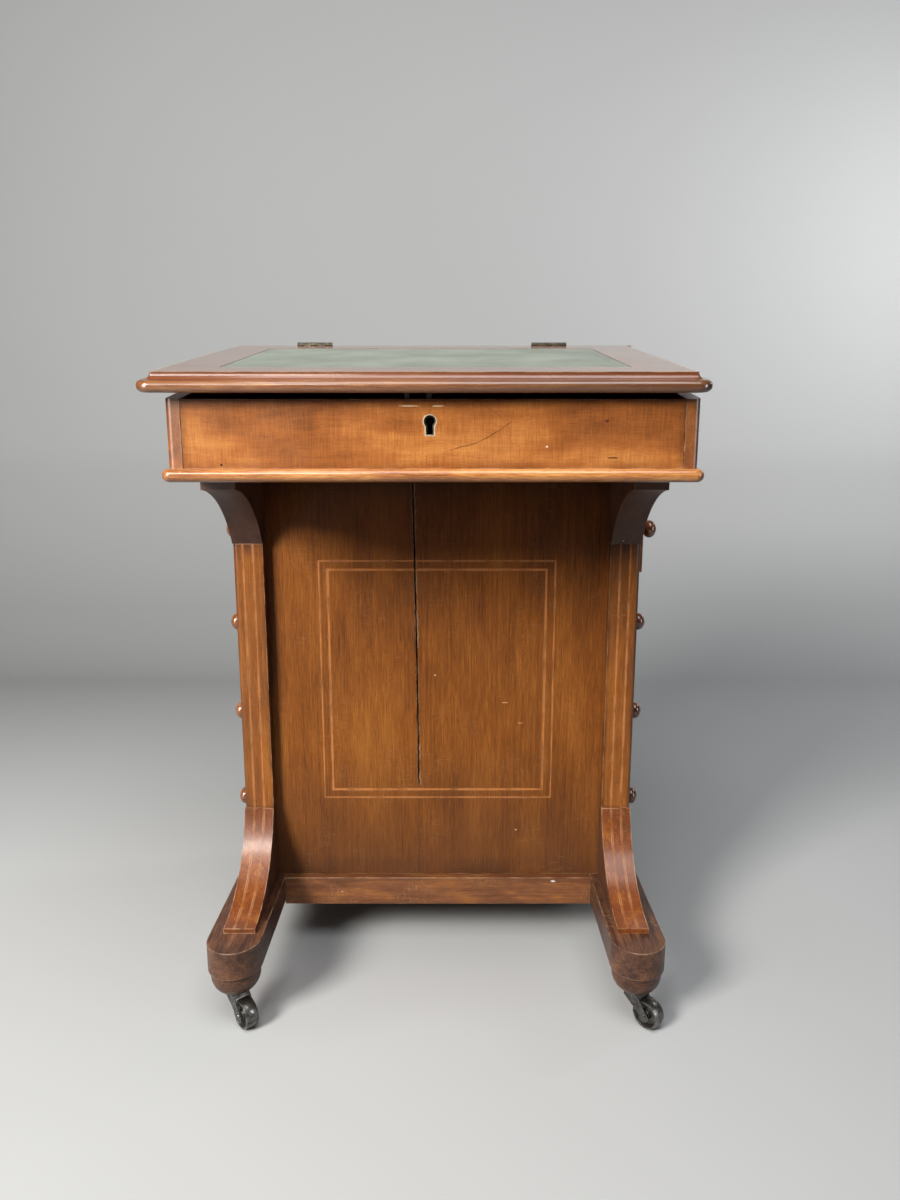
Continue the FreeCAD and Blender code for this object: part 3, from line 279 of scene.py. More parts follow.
def chips(tree, vector, radius=0.8 * MM):
    """Sparse pale chips of different sizes, longer along the grain."""
    drawn = add(tree, VECTOR, vector, (0.45, 1.0, 1.0), operation="MULTIPLY")
    cell = add(tree, "ShaderNodeTexVoronoi", drawn, 1 / CHIP_CELL, out="all")
    chance = add(tree, "ShaderNodeSeparateColor", cell["Color"])
    kept = add(tree, RANGE, chance, 0.5, 1.0, 0.0, radius / CHIP_CELL)
    return add(tree, MATH, cell["Distance"], kept, operation="LESS_THAN")


# ---------------------------------------------------------------- wood

LOG_STEP = (3.1, 5.7, 2.3)      # how far apart in the log two boards are cut, in metres
PORE = (0.009, 0.0008)          # an open pore filled with dark polish, drawn wider than life so that it shows


def polished_wood(name, dark, mid, light, cloud=(0.16, 0.06, 0.7), streak=(0.45, 0.006, 0.4),
                  dash=(0.026, 0.0011, 0.6), cross=(0.0012, 0.022, 0.0), sway=0.010, pores=0.25, rough=0.36,
                  specular=0.30, coat=0.30, coat_rough=0.20, wear=0.5, dirt_and_shade=0.4, dirt_and_shade_reach=0.020, marks=0.2,
                  relief=0.25, checks=0.0, spots=(), extra=None):
    """Hardwood under old french polish. The grain runs along each board's own length. Its tone is the sum
    of broad clouds, streaks, short fibre dashes and, on figured wood, rays across the grain, each given as
    its length, its width and its weight. It is darkened near the board's edges, by dirt and, on the front
    panel, by painted shade, and its arrises are rubbed."""
    material, tree, shader = new_material(name)
    place = add(tree, "ShaderNodeAttribute", attribute_name="grain", out="Vector")
    reach = add(tree, "ShaderNodeAttribute", attribute_name="reach", out="Vector")
    number = add(tree, "ShaderNodeAttribute", attribute_name="board", out="Fac")
    cut = add(tree, VECTOR, number, LOG_STEP, place, operation="MULTIPLY_ADD")
    bend = add(tree, NOISE, cut, 1 / 0.11, 2.0, out="Color")
    bent = add(tree, VECTOR, bend, (0.0, sway, sway), cut, operation="MULTIPLY_ADD")

    patterns = [pattern for pattern in (cloud, streak, dash, cross) if pattern[2]]
    total = 0.5 - sum(weight for _, _, weight in patterns) / 2
    for along, across, weight in patterns:
        pattern = grain_noise(tree, bent, along, across)
        total = add(tree, MATH, pattern, weight, total, operation="MULTIPLY_ADD")
    tone = add(tree, "ShaderNodeValToRGB", total,
               stops=((0.14, shaded(dark, 0.6)), (0.33, dark), (0.51, mid), (0.72, light)))

    pit = add(tree, RANGE, grain_noise(tree, bent, *PORE, 1.0), 0.58, 0.68)
    # darkening near the board's edges: dirt, and on the front panel painted shade where the pilasters and the
    # box stand in front of it
    dirt_and_shade_mask = add(tree, RANGE, edge_distance(tree, place, reach), dirt_and_shade_reach, 0.0)
    dirt_and_shade_mask = add(tree, MATH, dirt_and_shade_mask, patches(tree, cut, 0.06, 0.22, 0.60), operation="MULTIPLY")
    tone = overlaid(tree, tone, ((pit, pores, shaded(dark, 0.5)), (dirt_and_shade_mask, dirt_and_shade, shaded(dark, 0.30))))
    if checks:
        off = add(tree, MATH, grain_noise(tree, bent, 0.12, 0.05, 1.0), 0.5, operation="SUBTRACT")
        check = add(tree, RANGE, add(tree, MATH, off, operation="ABSOLUTE"), 0.0030, 0.0)
        check = add(tree, MATH, check, patches(tree, cut, 0.06, 0.52, 0.62), operation="MULTIPLY")
        tone = overlaid(tree, tone, ((check, checks, shaded(dark, 0.5)),))
    if extra:
        tone = extra(tree, tone, place, reach)

    line = add(tree, MATH, scratches(tree, cut), patches(tree, cut, 0.05, 0.50, 0.62), operation="MULTIPLY")
    line = add(tree, MATH, line, marks, operation="MULTIPLY")
    chip = add(tree, MATH, chips(tree, cut), min(marks * 3.0, 1.0), operation="MULTIPLY")
    rubbed = add(tree, MATH, worn_edges(tree, sizes().wear_reach), patches(tree, cut, 0.020, 0.38, 0.60),
                 operation="MULTIPLY")
    rubbed = add(tree, MATH, rubbed, wear, operation="MULTIPLY")
    bare = add(tree, MATH, add(tree, MATH, line, chip, operation="MAXIMUM"), rubbed, operation="MAXIMUM")
    tone = overlaid(tree, tone, ((bare, 1.0, colours().worn_wood),))
    tone = overlaid(tree, tone, [(mark_at(tree, *mark[:4]), 1.0, linear(mark[4])) for mark in spots])
    tree.links.new(tone, shader.inputs["Base Color"])

    gloss = add(tree, RANGE, patches(tree, cut, 0.07, 0.3, 0.75), 0.0, 1.0, rough - 0.05, rough + 0.10)
    gloss = add(tree, MATH, gloss, add(tree, MATH, bare, 0.62, operation="MULTIPLY"), operation="MAXIMUM")
    tree.links.new(gloss, shader.inputs["Roughness"])

    height = add(tree, MATH, grain_noise(tree, bent, dash[0], dash[1]), pit, operation="SUBTRACT")
    height = add(tree, MATH, height, line, operation="SUBTRACT")
    lift = add(tree, "ShaderNodeBump", named={"Strength": relief, "Distance": 0.10 * MM, "Height": height})
    tree.links.new(lift, shader.inputs["Normal"])
    shader.inputs["Specular IOR Level"].default_value = specular
    shader.inputs["Coat Weight"].default_value = coat
    shader.inputs["Coat Roughness"].default_value = coat_rough
    return material


def figured_veneer():
    """Veneer of the drawer fronts and the box's back: golden brown, with soft clouds and fine rays
    across the grain."""
    c = colours()
    return polished_wood("figured_veneer_french_polished", c.veneer_dark, c.veneer_mid, c.veneer_light,
                         cloud=(0.10, 0.045, 1.0), streak=(0.30, 0.006, 0.25), dash=(0.030, 0.0012, 0.35),
                         cross=(0.0012, 0.014, 0.40), sway=0.02, rough=0.34, dirt_and_shade=0.5)


def side_veneer():
    """Veneer of the box's sides: as the drawer fronts, but satin, with a thicker coat of polish."""
    c = colours()
    return polished_wood("figured_veneer_box_side", c.veneer_dark, c.veneer_mid, c.veneer_light,
                         cloud=(0.10, 0.045, 0.9), streak=(0.30, 0.006, 0.25), dash=(0.030, 0.0012, 0.35),
                         sway=0.02, rough=0.36, coat=0.6, coat_rough=0.34, dirt_and_shade=0.4, dirt_and_shade_reach=0.008)


# small marks on the front of the writing box: place across, place up, half their width and height, colour
BOX_MARKS = (
    (-0.2112, 0.6780, 1.5 * MM, 1.5 * MM, "2A1710"),
    (-0.0237, 0.7354, 10.5 * MM, 0.8 * MM, "E8CBA4"),
    (0.0051, 0.7354, 7.0 * MM, 0.8 * MM, "E3C39A"),
    (0.1132, 0.6960, 1.5 * MM, 1.1 * MM, "E6D2BC"),
    (0.1722, 0.7210, 2.4 * MM, 1.8 * MM, "5A3020"),
    (0.1790, 0.6850, 6.5 * MM, 0.9 * MM, "5E3422"),
)


# the arc that a crack in the front board's veneer follows, and how far across its two ends lie
BOX_LINE = {"middle": (-0.0054, 0.0, 0.823), "radius": 0.132, "ends": (0.0175, 0.0765)}
CRACK_HALF = 0.55 * MM      # half the width of the crack, drawn wider than life so that it shows
CRACK_WANDER = 1.2 * MM     # how far it strays from the arc
SEAM = 1.1 * MM             # width of the dirt in the joints at the front board's ends


def box_ageing(tree, tone, place, reach):
    """Dirt in the joints at the front board's ends, and a curved line where the veneer was once cracked."""
    here = add(tree, PLACE, out="Object")
    flat = add(tree, VECTOR, here, (1.0, 0.0, 1.0), operation="MULTIPLY")
    away = add(tree, VECTOR, flat, BOX_LINE["middle"], operation="DISTANCE")
    wander = add(tree, RANGE, add(tree, NOISE, here, 1 / 0.012), 0.0, 1.0, -CRACK_WANDER, CRACK_WANDER)
    line = add(tree, MATH, add(tree, MATH, away, wander, operation="ADD"), BOX_LINE["radius"], CRACK_HALF,
               operation="COMPARE")
    across = add(tree, SPLIT, here, out="all")[0]
    for end, way in zip(BOX_LINE["ends"], (-1, 1)):
        line = add(tree, MATH, line, add(tree, RANGE, across, end + way * 2 * MM, end), operation="MULTIPLY")
    line = add(tree, MATH, line, patches(tree, here, 0.010, 0.25, 0.55), operation="MULTIPLY")
    inset = add(tree, VECTOR, reach, add(tree, VECTOR, place, operation="ABSOLUTE"), operation="SUBTRACT")
    seam = add(tree, MATH, add(tree, SPLIT, inset, out="all")[0], 0.0, SEAM, operation="COMPARE")
    seam = add(tree, MATH, seam, patches(tree, here, 0.010, 0.20, 0.45), operation="MULTIPLY")
    return overlaid(tree, tone, ((line, 0.70, linear("5A2E18")), (seam, 0.85, linear("2E1810"))))


def box_veneer():
    """Veneer of the box's front board: golden orange, with soft reddish clouds, very fine upright rays over
    faint level grain and a few curved drying checks."""
    c = colours()
    return polished_wood("figured_veneer_box_front", c.veneer_dark, c.veneer_mid, c.veneer_light,
                         cloud=(0.12, 0.055, 0.85), streak=(0.24, 0.005, 0.14), dash=(0.034, 0.0010, 0.20),
                         cross=(0.0009, 0.020, 0.34), sway=0.02, rough=0.28, dirt_and_shade=0.6, dirt_and_shade_reach=0.009,
                         checks=0.55, marks=0.12, extra=box_ageing, spots=BOX_MARKS)


SPLIT_FOOT = (-0.0258, 0.240)       # across and up: below it the split goes on as a closed joint
SPLIT_HEAD = (-0.0310, 0.661)
SPLIT_JAG = 1.2 * MM                # how far the torn edge strays from the split's course
SPLIT_DARK = (1.6 * MM, 1.1 * MM)   # half widths of the torn wood, where it begins and where it is darkest
SPLIT_PALE_LIT = (2.2 * MM, 0.7 * MM)   # how far off the pale band lies beside it, and half its width: paler torn wood with painted light on the split's edge
JOINT_LINE = (0.9 * MM, 0.3 * MM)   # half widths of the closed joint, where it begins and where it is darkest
LOWER_GREYING = (0.30, 0.13)                # heights between which the wood grows darker and greyer towards the floor
PAINTED_BOX_SHADOW = (0.585, 0.650)              # heights between which the box's shadow is painted on the panel


def panel_ageing(tree, tone, place, reach):
    """A hairline joint below the split, torn and paler wood along it with painted light on its edge, painted
    shadow of the box at the top, and darker, greyer wood towards the floor."""
    here = add(tree, PLACE, out="Object")
    where = add(tree, SPLIT, here, out="all")
    climb = add(tree, MATH, add(tree, RANGE, where[2], SPLIT_FOOT[1], SPLIT_HEAD[1]), 1.4, operation="POWER")
    course = add(tree, MATH, climb, SPLIT_HEAD[0] - SPLIT_FOOT[0], SPLIT_FOOT[0], operation="MULTIPLY_ADD")
    away = add(tree, MATH, where[0], course, operation="SUBTRACT")
    jag = add(tree, RANGE, grain_noise(tree, here, 0.05, 0.0045, 2.0), 0.3, 0.7, -SPLIT_JAG, SPLIT_JAG)
    torn = add(tree, MATH, away, jag, operation="ADD")
    below = add(tree, RANGE, where[2], SPLIT_FOOT[1] + 2 * MM, SPLIT_FOOT[1])
    above = add(tree, MATH, 1.0, below, operation="SUBTRACT")
    dark = add(tree, RANGE, add(tree, MATH, torn, operation="ABSOLUTE"), *SPLIT_DARK)
    dark = add(tree, MATH, dark, above, operation="MULTIPLY")
    # a pale band on one side of the split: paler torn wood and painted light on the split's edge
    pale_lit_edge = add(tree, MATH, torn, *SPLIT_PALE_LIT, operation="COMPARE")
    pale_lit_edge = add(tree, MATH, pale_lit_edge, patches(tree, here, 0.03, 0.45, 0.60), operation="MULTIPLY")
    pale_lit_edge = add(tree, MATH, pale_lit_edge, above, operation="MULTIPLY")
    joint = add(tree, RANGE, add(tree, MATH, away, operation="ABSOLUTE"), *JOINT_LINE)
    joint = add(tree, MATH, joint, below, operation="MULTIPLY")
    # darker and greyer towards the floor
    lower_greying = add(tree, MATH, add(tree, RANGE, where[2], *LOWER_GREYING), patches(tree, place, 0.12, 0.1, 0.5),
                operation="MULTIPLY")
    # painted shadow of the box over the top of the panel
    painted_box_shadow = add(tree, RANGE, where[2], *PAINTED_BOX_SHADOW)
    return overlaid(tree, tone, ((painted_box_shadow, 0.60, linear("24120A")),
                                 (joint, 0.45, shaded(colours().panel_dark, 0.3)),
                                 (lower_greying, 0.60, linear("583A28")), (pale_lit_edge, 0.55, linear("B99A80")),
                                 (dark, 0.95, linear("120A07"))))


# two scratches and two flecks on the front panel
PANEL_MARKS = (
    (0.0907, 0.3580, 5.0 * MM, 0.8 * MM, "CF9C77"),
    (0.1111, 0.3293, 4.0 * MM, 0.8 * MM, "C79670"),
    (0.1080, 0.1747, 1.8 * MM, 1.4 * MM, "C9A58C"),
    (-0.0031, 0.3960, 1.4 * MM, 1.6 * MM, "D2A67C"),
)


def panel_veneer():
    """Straight-grained veneer of the front panel: golden brown in fine short upright streaks, and dry."""
    c = colours()
    # the edge darkening here, 0.75 over 30 mm, is dirt and painted shade along the pilasters and under the
    # box
    return polished_wood("straight_veneer_front_panel", c.panel_dark, c.panel_mid, c.panel_light,
                         cloud=(0.24, 0.060, 0.55), streak=(0.36, 0.0035, 0.28), dash=(0.028, 0.0009, 0.60),
                         sway=0.004, rough=0.42, specular=0.12, coat=0.05, dirt_and_shade=0.75, dirt_and_shade_reach=0.030,
                         marks=0.15, pores=0.30, extra=panel_ageing, spots=PANEL_MARKS)


def case_veneer():
    """Straight-grained wood of the pedestal's back, posts and rails."""
    c = colours()
    return polished_wood("straight_veneer_dry_polish", c.panel_dark, c.panel_mid, c.panel_light,
                         cloud=(0.22, 0.060, 0.7), streak=(0.50, 0.006, 0.45), dash=(0.024, 0.0011, 0.7),
                         sway=0.006, rough=0.42, coat=0.15, coat_rough=0.28, dirt_and_shade=0.5, pores=0.3)


# how far in from the outside of the moulded edge its bead, its quirk and its upper arris end
MOULD = {"bead": 6.0 * MM, "quirk": 8.0 * MM, "arris": 14.0 * MM}


def rubbed_moulding(tree, tone, nearest, cut):
    """The moulded edge of the lid and ledge: a dark line in the quirk, red polish left in the cove, and an
    upper arris rubbed pale."""
    cove = add(tree, RANGE, nearest, MOULD["arris"], MOULD["arris"] - 1 * MM)
    red = add(tree, RANGE, nearest, MOULD["bead"], MOULD["quirk"])
    red = add(tree, MATH, cove, red, operation="MULTIPLY")
    quirk = add(tree, MATH, nearest, MOULD["bead"] + 0.6 * MM, 0.9 * MM, operation="COMPARE")
    arris = add(tree, MATH, nearest, MOULD["arris"] + 0.3 * MM, 1.3 * MM, operation="COMPARE")
    arris = add(tree, MATH, arris, patches(tree, cut, 0.05, 0.34, 0.56), operation="MULTIPLY")
    return overlaid(tree, tone, ((red, 0.60, linear("70381A")), (quirk, 0.75, linear("3A1E12")),
                                 (arris, 0.90, linear("DDB890"))))


def lid_edges(tree, tone, place, reach):
    """The lid's edge is moulded on its front and ends, and plain at the hinges. Its right half is darker,
    partly as darker wood and partly as painted shade away from the lamps on the left.
    """
    nearest = edge_distance(tree, place, reach, 1.0)
    # the right half is painted darker: partly darker wood, partly painted shade away from the lamps on the
    # left
    right = add(tree, RANGE, add(tree, SPLIT, place, out="all")[0], -0.06, 0.16)
    right = add(tree, MATH, right, add(tree, RANGE, nearest, MOULD["arris"], MOULD["arris"] - 2 * MM),
                operation="MULTIPLY")
    tone = overlaid(tree, tone, ((right, 0.70, linear("4A2A1A")),))
    return rubbed_moulding(tree, tone, nearest, place)


def ledge_edges(tree, tone, place, reach):
    """The ledge's edge is moulded on its back and ends, and plain at the hinges."""
    return rubbed_moulding(tree, tone, edge_distance(tree, place, reach, -1.0), place)


def moulded_board(name, edges):
    """A solid board of the lid or ledge: brown under a glossy polish, with rubbed mouldings."""
    c = colours()
    return polished_wood(name, c.solid_dark, c.solid_mid, c.solid_light, cloud=(0.20, 0.05, 0.7),
                         streak=(0.26, 0.004, 0.40), dash=(0.030, 0.0011, 0.45), rough=0.32, coat=1.0,
                         coat_rough=0.12, wear=0.5, marks=0.35, dirt_and_shade=0.1, extra=edges)


def lid_wood():
    """The sloping lid."""
    return moulded_board("lid_wood_french_polished", lid_edges)


def ledge_wood():
    """The fixed ledge behind the lid."""
    return moulded_board("ledge_wood_french_polished", ledge_edges)


def dark_polish_and_shade_at_head(tree, tone, place, reach):
    """Old polish gone dark and painted shade at the pilasters' heads, under the brackets."""
    up = add(tree, SPLIT, add(tree, PLACE, out="Object"), out="all")[2]
    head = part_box("pilaster_left")[1].z
    dirt_and_shade_mask = add(tree, MATH, add(tree, RANGE, up, head - 26 * MM, head - 3 * MM),
                patches(tree, place, 0.012, 0.2, 0.6), operation="MULTIPLY")
    # painted shade under the brackets, together with the old dark polish
    return overlaid(tree, tone, ((dirt_and_shade_mask, 0.75, linear("3A1D12")),))


# two knocks on the base rail
RAIL_MARKS = (
    (0.1597, 0.1034, 3.6 * MM, 1.8 * MM, "E9D9CC"),
    (-0.1330, 0.0880, 1.5 * MM, 1.0 * MM, "CDA98C"),
)


def pilaster_wood():
    """Solid golden-brown wood of the pilasters, a little darker along its edges."""
    c = colours()
    return polished_wood("solid_wood_worn_polish", c.pilaster_dark, c.pilaster_mid, c.pilaster_light,
                         cloud=(0.14, 0.03, 0.6), streak=(0.22, 0.0035, 0.25), dash=(0.026, 0.0011, 0.35),
                         rough=0.38, specular=0.2, coat=0.2, wear=0.7, dirt_and_shade=0.7, dirt_and_shade_reach=0.005, marks=0.2,
                         extra=dark_polish_and_shade_at_head)


def strip_wood():
    """The strips on the legs: redder, glossy in their hollows, with edges rubbed pale."""
    c = colours()
    return polished_wood("solid_wood_rubbed_strip", c.pilaster_dark, c.strip_mid, c.pilaster_light,
                         cloud=(0.08, 0.03, 0.5), streak=(0.22, 0.0035, 0.30), dash=(0.026, 0.0011, 0.4),
                         rough=0.34, coat=0.6, coat_rough=0.22, wear=1.0, dirt_and_shade=0.3, dirt_and_shade_reach=0.004,
                         marks=0.3)


def rail_wood():
    """The base rail: lower, dustier and more knocked than the rest of the front."""
    c = colours()
    return polished_wood("rail_wood_knocked", c.pilaster_dark, c.rail_mid, c.pilaster_light,
                         cloud=(0.06, 0.02, 0.6), streak=(0.22, 0.004, 0.30), dash=(0.026, 0.0011, 0.4),
                         rough=0.40, coat=0.25, wear=0.9, dirt_and_shade=0.4, dirt_and_shade_reach=0.008, marks=0.4,
                         spots=RAIL_MARKS)


def moulding_wood():
    """The golden bullnosed edge under the box."""
    c = colours()
    return polished_wood("light_moulding_french_polished", c.moulding_dark, c.moulding_mid, c.moulding_light,
                         cloud=(0.12, 0.03, 0.7), streak=(0.20, 0.003, 0.40), dash=(0.016, 0.0010, 0.6),
                         rough=0.30, coat=0.9, coat_rough=0.13, wear=0.5, dirt_and_shade=0.0, marks=0.4)


def foot_wood():
    """The feet and turned pads: dark, dull and knocked pale along their edges."""
    c = colours()
    return polished_wood("dark_wood_kicked", c.foot_dark, c.foot_mid, c.foot_light, cloud=(0.06, 0.02, 0.7),
                         streak=(0.16, 0.005, 0.4), dash=(0.020, 0.0012, 0.6), rough=0.44, coat=0.20,
                         wear=0.9, dirt_and_shade=0.4, marks=0.5, relief=0.4)


# the head of the nail that holds the right bracket
BRACKET_MARKS = ((0.2374, 0.5780, 1.3 * MM, 1.3 * MM, "B9A794"),)


def bracket_wood():
    """The sawn brackets and legs: dark brown and smooth."""
    c = colours()
    return polished_wood("dark_wood_smooth", c.foot_dark, c.bracket_mid, c.foot_mid, cloud=(0.10, 0.04, 0.7),
                         streak=(0.20, 0.008, 0.3), dash=(0.020, 0.0012, 0.3), rough=0.46, coat=0.15,
                         coat_rough=0.30, wear=0.25, dirt_and_shade=0.3, dirt_and_shade_reach=0.010, marks=0.05,
                         spots=BRACKET_MARKS)


def knob_wood():
    """Turned knobs, orange-brown and rubbed to a gloss by hands."""
    c = colours()
    return polished_wood("turned_wood_glossy", c.solid_dark, c.knob_mid, c.solid_light,
                         cloud=(0.02, 0.012, 0.8), streak=(0.05, 0.003, 0.4), dash=(0.010, 0.0010, 0.4),
                         rough=0.24, coat=1.0, coat_rough=0.10, wear=0.0, dirt_and_shade=0.2, dirt_and_shade_reach=0.004,
                         marks=0.05, relief=0.10)


def deal():
    """Planed deal that was never polished: pale, dry and matt."""
    base = colours().deal
    return polished_wood("planed_deal_unpolished", shaded(base, 0.55), base, shaded(base, 1.25),
                         streak=(0.5, 0.006, 0.9), rough=0.68, coat=0.0, wear=0.1, dirt_and_shade=0.5, pores=0.2,
                         marks=0.1)


def small_drawer_wood():
    """Thin polished boards of the nest of pigeonholes and its two drawers."""
    c = colours()
    return polished_wood("thin_boards_light_polish", c.panel_dark, c.solid_light, c.veneer_light,
                         streak=(0.2, 0.005, 0.7), rough=0.42, coat=0.15, wear=0.3, marks=0.1)


LEG_TOP = 0.214             # below it the lines are rubbed and nearly as dark as the wood


def faded_low(tree, tone, place, reach):
    """The lines on the legs have darkened until they hardly show."""
    up = add(tree, SPLIT, add(tree, PLACE, out="Object"), out="all")[2]
    worn = add(tree, MATH, add(tree, RANGE, up, LEG_TOP + 1 * MM, LEG_TOP - 3 * MM),
               patches(tree, place, 0.03, 0.05, 0.45), operation="MULTIPLY")
    return overlaid(tree, tone, ((worn, 0.92, colours().pilaster_mid),))


def boxwood_line():
    """Boxwood lines under polish that has yellowed to orange."""
    base = colours().boxwood
    return polished_wood("boxwood_line_yellowed", shaded(base, 0.6), base, shaded(base, 1.2),
                         cloud=(0.035, 0.02, 1.0), streak=(0.06, 0.002, 0.5), dash=(0.010, 0.001, 0.3),
                         rough=0.36, coat=0.3, wear=0.0, dirt_and_shade=0.0, marks=0.0, pores=0.1, extra=faded_low)


# ---------------------------------------------------------------- metal and leather

def metal(name, rust_size, bright_size, base, dull, bright, low, high, metallic, roughs, pit_size):
    """Old metal: dull patches over the bare colour, rubbed bright on its edges, with a finely pitted skin."""
    material, tree, shader = new_material(name)
    here = add(tree, PLACE, out="Object")
    rust = patches(tree, here, rust_size, low, high, 6.0)
    edge = add(tree, MATH, worn_edges(tree, 1.0 * MM), patches(tree, here, bright_size, 0.32, 0.55),
               operation="MULTIPLY")
    tone = add(tree, MIX, rust, base, dull, data_type="RGBA")
    tone = overlaid(tree, tone, ((edge, 0.85, bright),))
    tree.links.new(tone, shader.inputs["Base Color"])
    tree.links.new(add(tree, RANGE, rust, 0.0, 1.0, *roughs), shader.inputs["Roughness"])
    pits = add(tree, NOISE, here, 1 / pit_size, 3.0)
    lift = add(tree, "ShaderNodeBump", named={"Strength": 0.3, "Distance": 0.12 * MM, "Height": pits})
    tree.links.new(lift, shader.inputs["Normal"])
    shader.inputs["Metallic"].default_value = metallic
    return material


def aged_brass():
    """Old brass: grey-brown tarnish nearly all over, a little yellow where it is touched."""
    c = colours()
    return metal("brass_tarnished", 0.007, 0.004, c.brass, c.tarnish, c.brass, 0.28, 0.60, 0.9, (0.34, 0.55),
                 0.7 * MM)


def worn_liner():
    """The keyhole's liner: brass rubbed pale by the key, dirty where the key doesn't reach."""
    base = colours().liner
    return metal("brass_rubbed_pale", 0.004, 0.003, base, shaded(base, 0.45), base, 0.42, 0.72, 0.35,
                 (0.30, 0.60), 0.7 * MM)


def dark_iron():
    """Castor metal: grey, darkened by oxide and old polish, worn bright on its edges and treads."""
    base = colours().iron
    return metal("castor_iron_worn", 0.006, 0.004, base, shaded(base, 0.25), linear("B4B0A9"), 0.38, 0.66,
                 0.95, (0.26, 0.55), 1.2 * MM)


def green_leather():
    """A green skiver gone grey: fine pebbled grain, a blind-tooled line near its edge, rubbed paler."""
    material, tree, shader = new_material("leather_skiver_green")
    place = add(tree, "ShaderNodeAttribute", attribute_name="grain", out="Vector")
    reach = add(tree, "ShaderNodeAttribute", attribute_name="reach", out="Vector")
    base = colours().leather
    cell = add(tree, "ShaderNodeTexVoronoi", place, 1 / (1.3 * MM), feature="DISTANCE_TO_EDGE")
    crease = add(tree, RANGE, cell, 0.0, 0.12, 1.0, 0.0)
    rubbed = patches(tree, place, 0.09, 0.36, 0.66, 6.0)
    nearest = edge_distance(tree, place, reach)
    tooled = add(tree, MATH, nearest, 11 * MM, 0.6 * MM, operation="COMPARE")
    edge = add(tree, MATH, nearest, 0.0, 1.4 * MM, operation="COMPARE")
    line = add(tree, MATH, add(tree, MATH, tooled, 0.5, operation="MULTIPLY"), edge, operation="MAXIMUM")
    tone = add(tree, MIX, rubbed, base, colours().leather_rubbed, data_type="RGBA")
    tone = overlaid(tree, tone, ((crease, 0.35, shaded(base, 0.5)), (line, 0.8, shaded(base, 0.18))))
    tree.links.new(tone, shader.inputs["Base Color"])
    tree.links.new(add(tree, RANGE, rubbed, 0.0, 1.0, 0.52, 0.40), shader.inputs["Roughness"])
    dent = add(tree, MATH, add(tree, MATH, crease, 0.5, operation="MULTIPLY"), line, operation="MAXIMUM")
    lift = add(tree, "ShaderNodeBump", named={"Strength": 0.4, "Distance": 0.3 * MM, "Height": dent},
               invert=True)
    tree.links.new(lift, shader.inputs["Normal"])
    shader.inputs["Sheen Weight"].default_value = 0.15
    return material


# ---------------------------------------------------------------- making a piece

JOIN = 0.002 * MM           # loose triangles meet within this
FLAT = math.radians(0.08)   # facets flatter than this to each other are one face
SHARP = math.radians(32)    # an edge sharper than this is an arris
UNEVEN = 26 * MM            # an arris wears more or less from one such length to the next


def joined(node):
    """The CAD node's surface as one joined shape, with its flat facets made whole."""
    source = frame["nodes"][node].data
    shape = bmesh.new()
    points = [shape.verts.new(v.co) for v in source.vertices]
    for face in source.polygons:
        shape.faces.new([points[i] for i in face.vertices])
    bmesh.ops.remove_doubles(shape, verts=shape.verts, dist=JOIN)
    bmesh.ops.dissolve_limit(shape, angle_limit=FLAT, verts=shape.verts, edges=shape.edges)
    return shape


LID_SLOPE = math.radians(10.4)      # to the floor, with the lid down
# the moulded edge of the lid and ledge: its bead, the step over it, and how wide it turns at a corner
EDGE = {"bead": MOULD["bead"], "quirk": 1.0 * MM, "turn": 16.0 * MM}
CUTTER_SKIN = 0.03 * MM     # how much farther out a corner's cutter lies than the edge
AIR = 8 * MM                # how far a cutter reaches past the board


def outside_of_edge(under, top):
    """The outline of the air outside a moulded edge, from the axis that it turns about at a corner."""
    bead, reach = EDGE["bead"], EDGE["turn"] + CUTTER_SKIN
    cove_in = reach - bead - EDGE["quirk"]
    cove = top - under - 2 * bead
    outline = [(reach - bead + bead * math.sin(a), under + bead - bead * math.cos(a))
               for a in np.linspace(0, math.pi, 17)]
    outline += [(cove_in - cove * math.sin(a), top - cove * math.cos(a))
                for a in np.linspace(0, math.pi / 2, 9)]
    return outline + [(outline[-1][0], top + AIR), (reach + AIR, top + AIR), (reach + AIR, under - AIR),
                      (outline[0][0], under - AIR)]


def cut_away(shape, cutters):
    """Cuts closed shapes out of a shape, and hands back what is left."""
    holder = bpy.data.objects.new("board", bpy.data.meshes.new("board"))
    tools = [bpy.data.objects.new("cutter", bpy.data.meshes.new("cutter")) for _ in cutters]
    for thing, part in zip((holder, *tools), (shape, *cutters)):
        part.to_mesh(thing.data)
        part.free()
        bpy.context.scene.collection.objects.link(thing)
    for tool in tools:
        cut = holder.modifiers.new("Cut", "BOOLEAN")
        cut.operation = "DIFFERENCE"
        cut.solver = "EXACT"
        cut.object = tool
    left = bmesh.new()
    left.from_mesh(settle(holder))
    for thing in (holder, *tools):
        bpy.data.objects.remove(thing)
    bmesh.ops.remove_doubles(left, verts=left.verts, dist=JOIN)
    bmesh.ops.dissolve_limit(left, angle_limit=FLAT, verts=left.verts, edges=left.edges)
    return left


def skinned(rings, closed_ends=True):
    """A closed shape through rings of as many points each. Its end rings are filled, or, with closed_ends
    off, joined to each other."""
    shape = bmesh.new()
    rings = [[shape.verts.new(point) for point in ring] for ring in rings]
    count = len(rings[0])
    for one, two in zip(rings, rings[1:] if closed_ends else rings[1:] + rings[:1]):
        for k in range(count):
            shape.faces.new((one[k], one[(k + 1) % count], two[(k + 1) % count], two[k]))
    if closed_ends:
        shape.faces.new(rings[0])
        shape.faces.new(rings[-1])
    bmesh.ops.recalc_face_normals(shape, faces=shape.faces)
    return shape


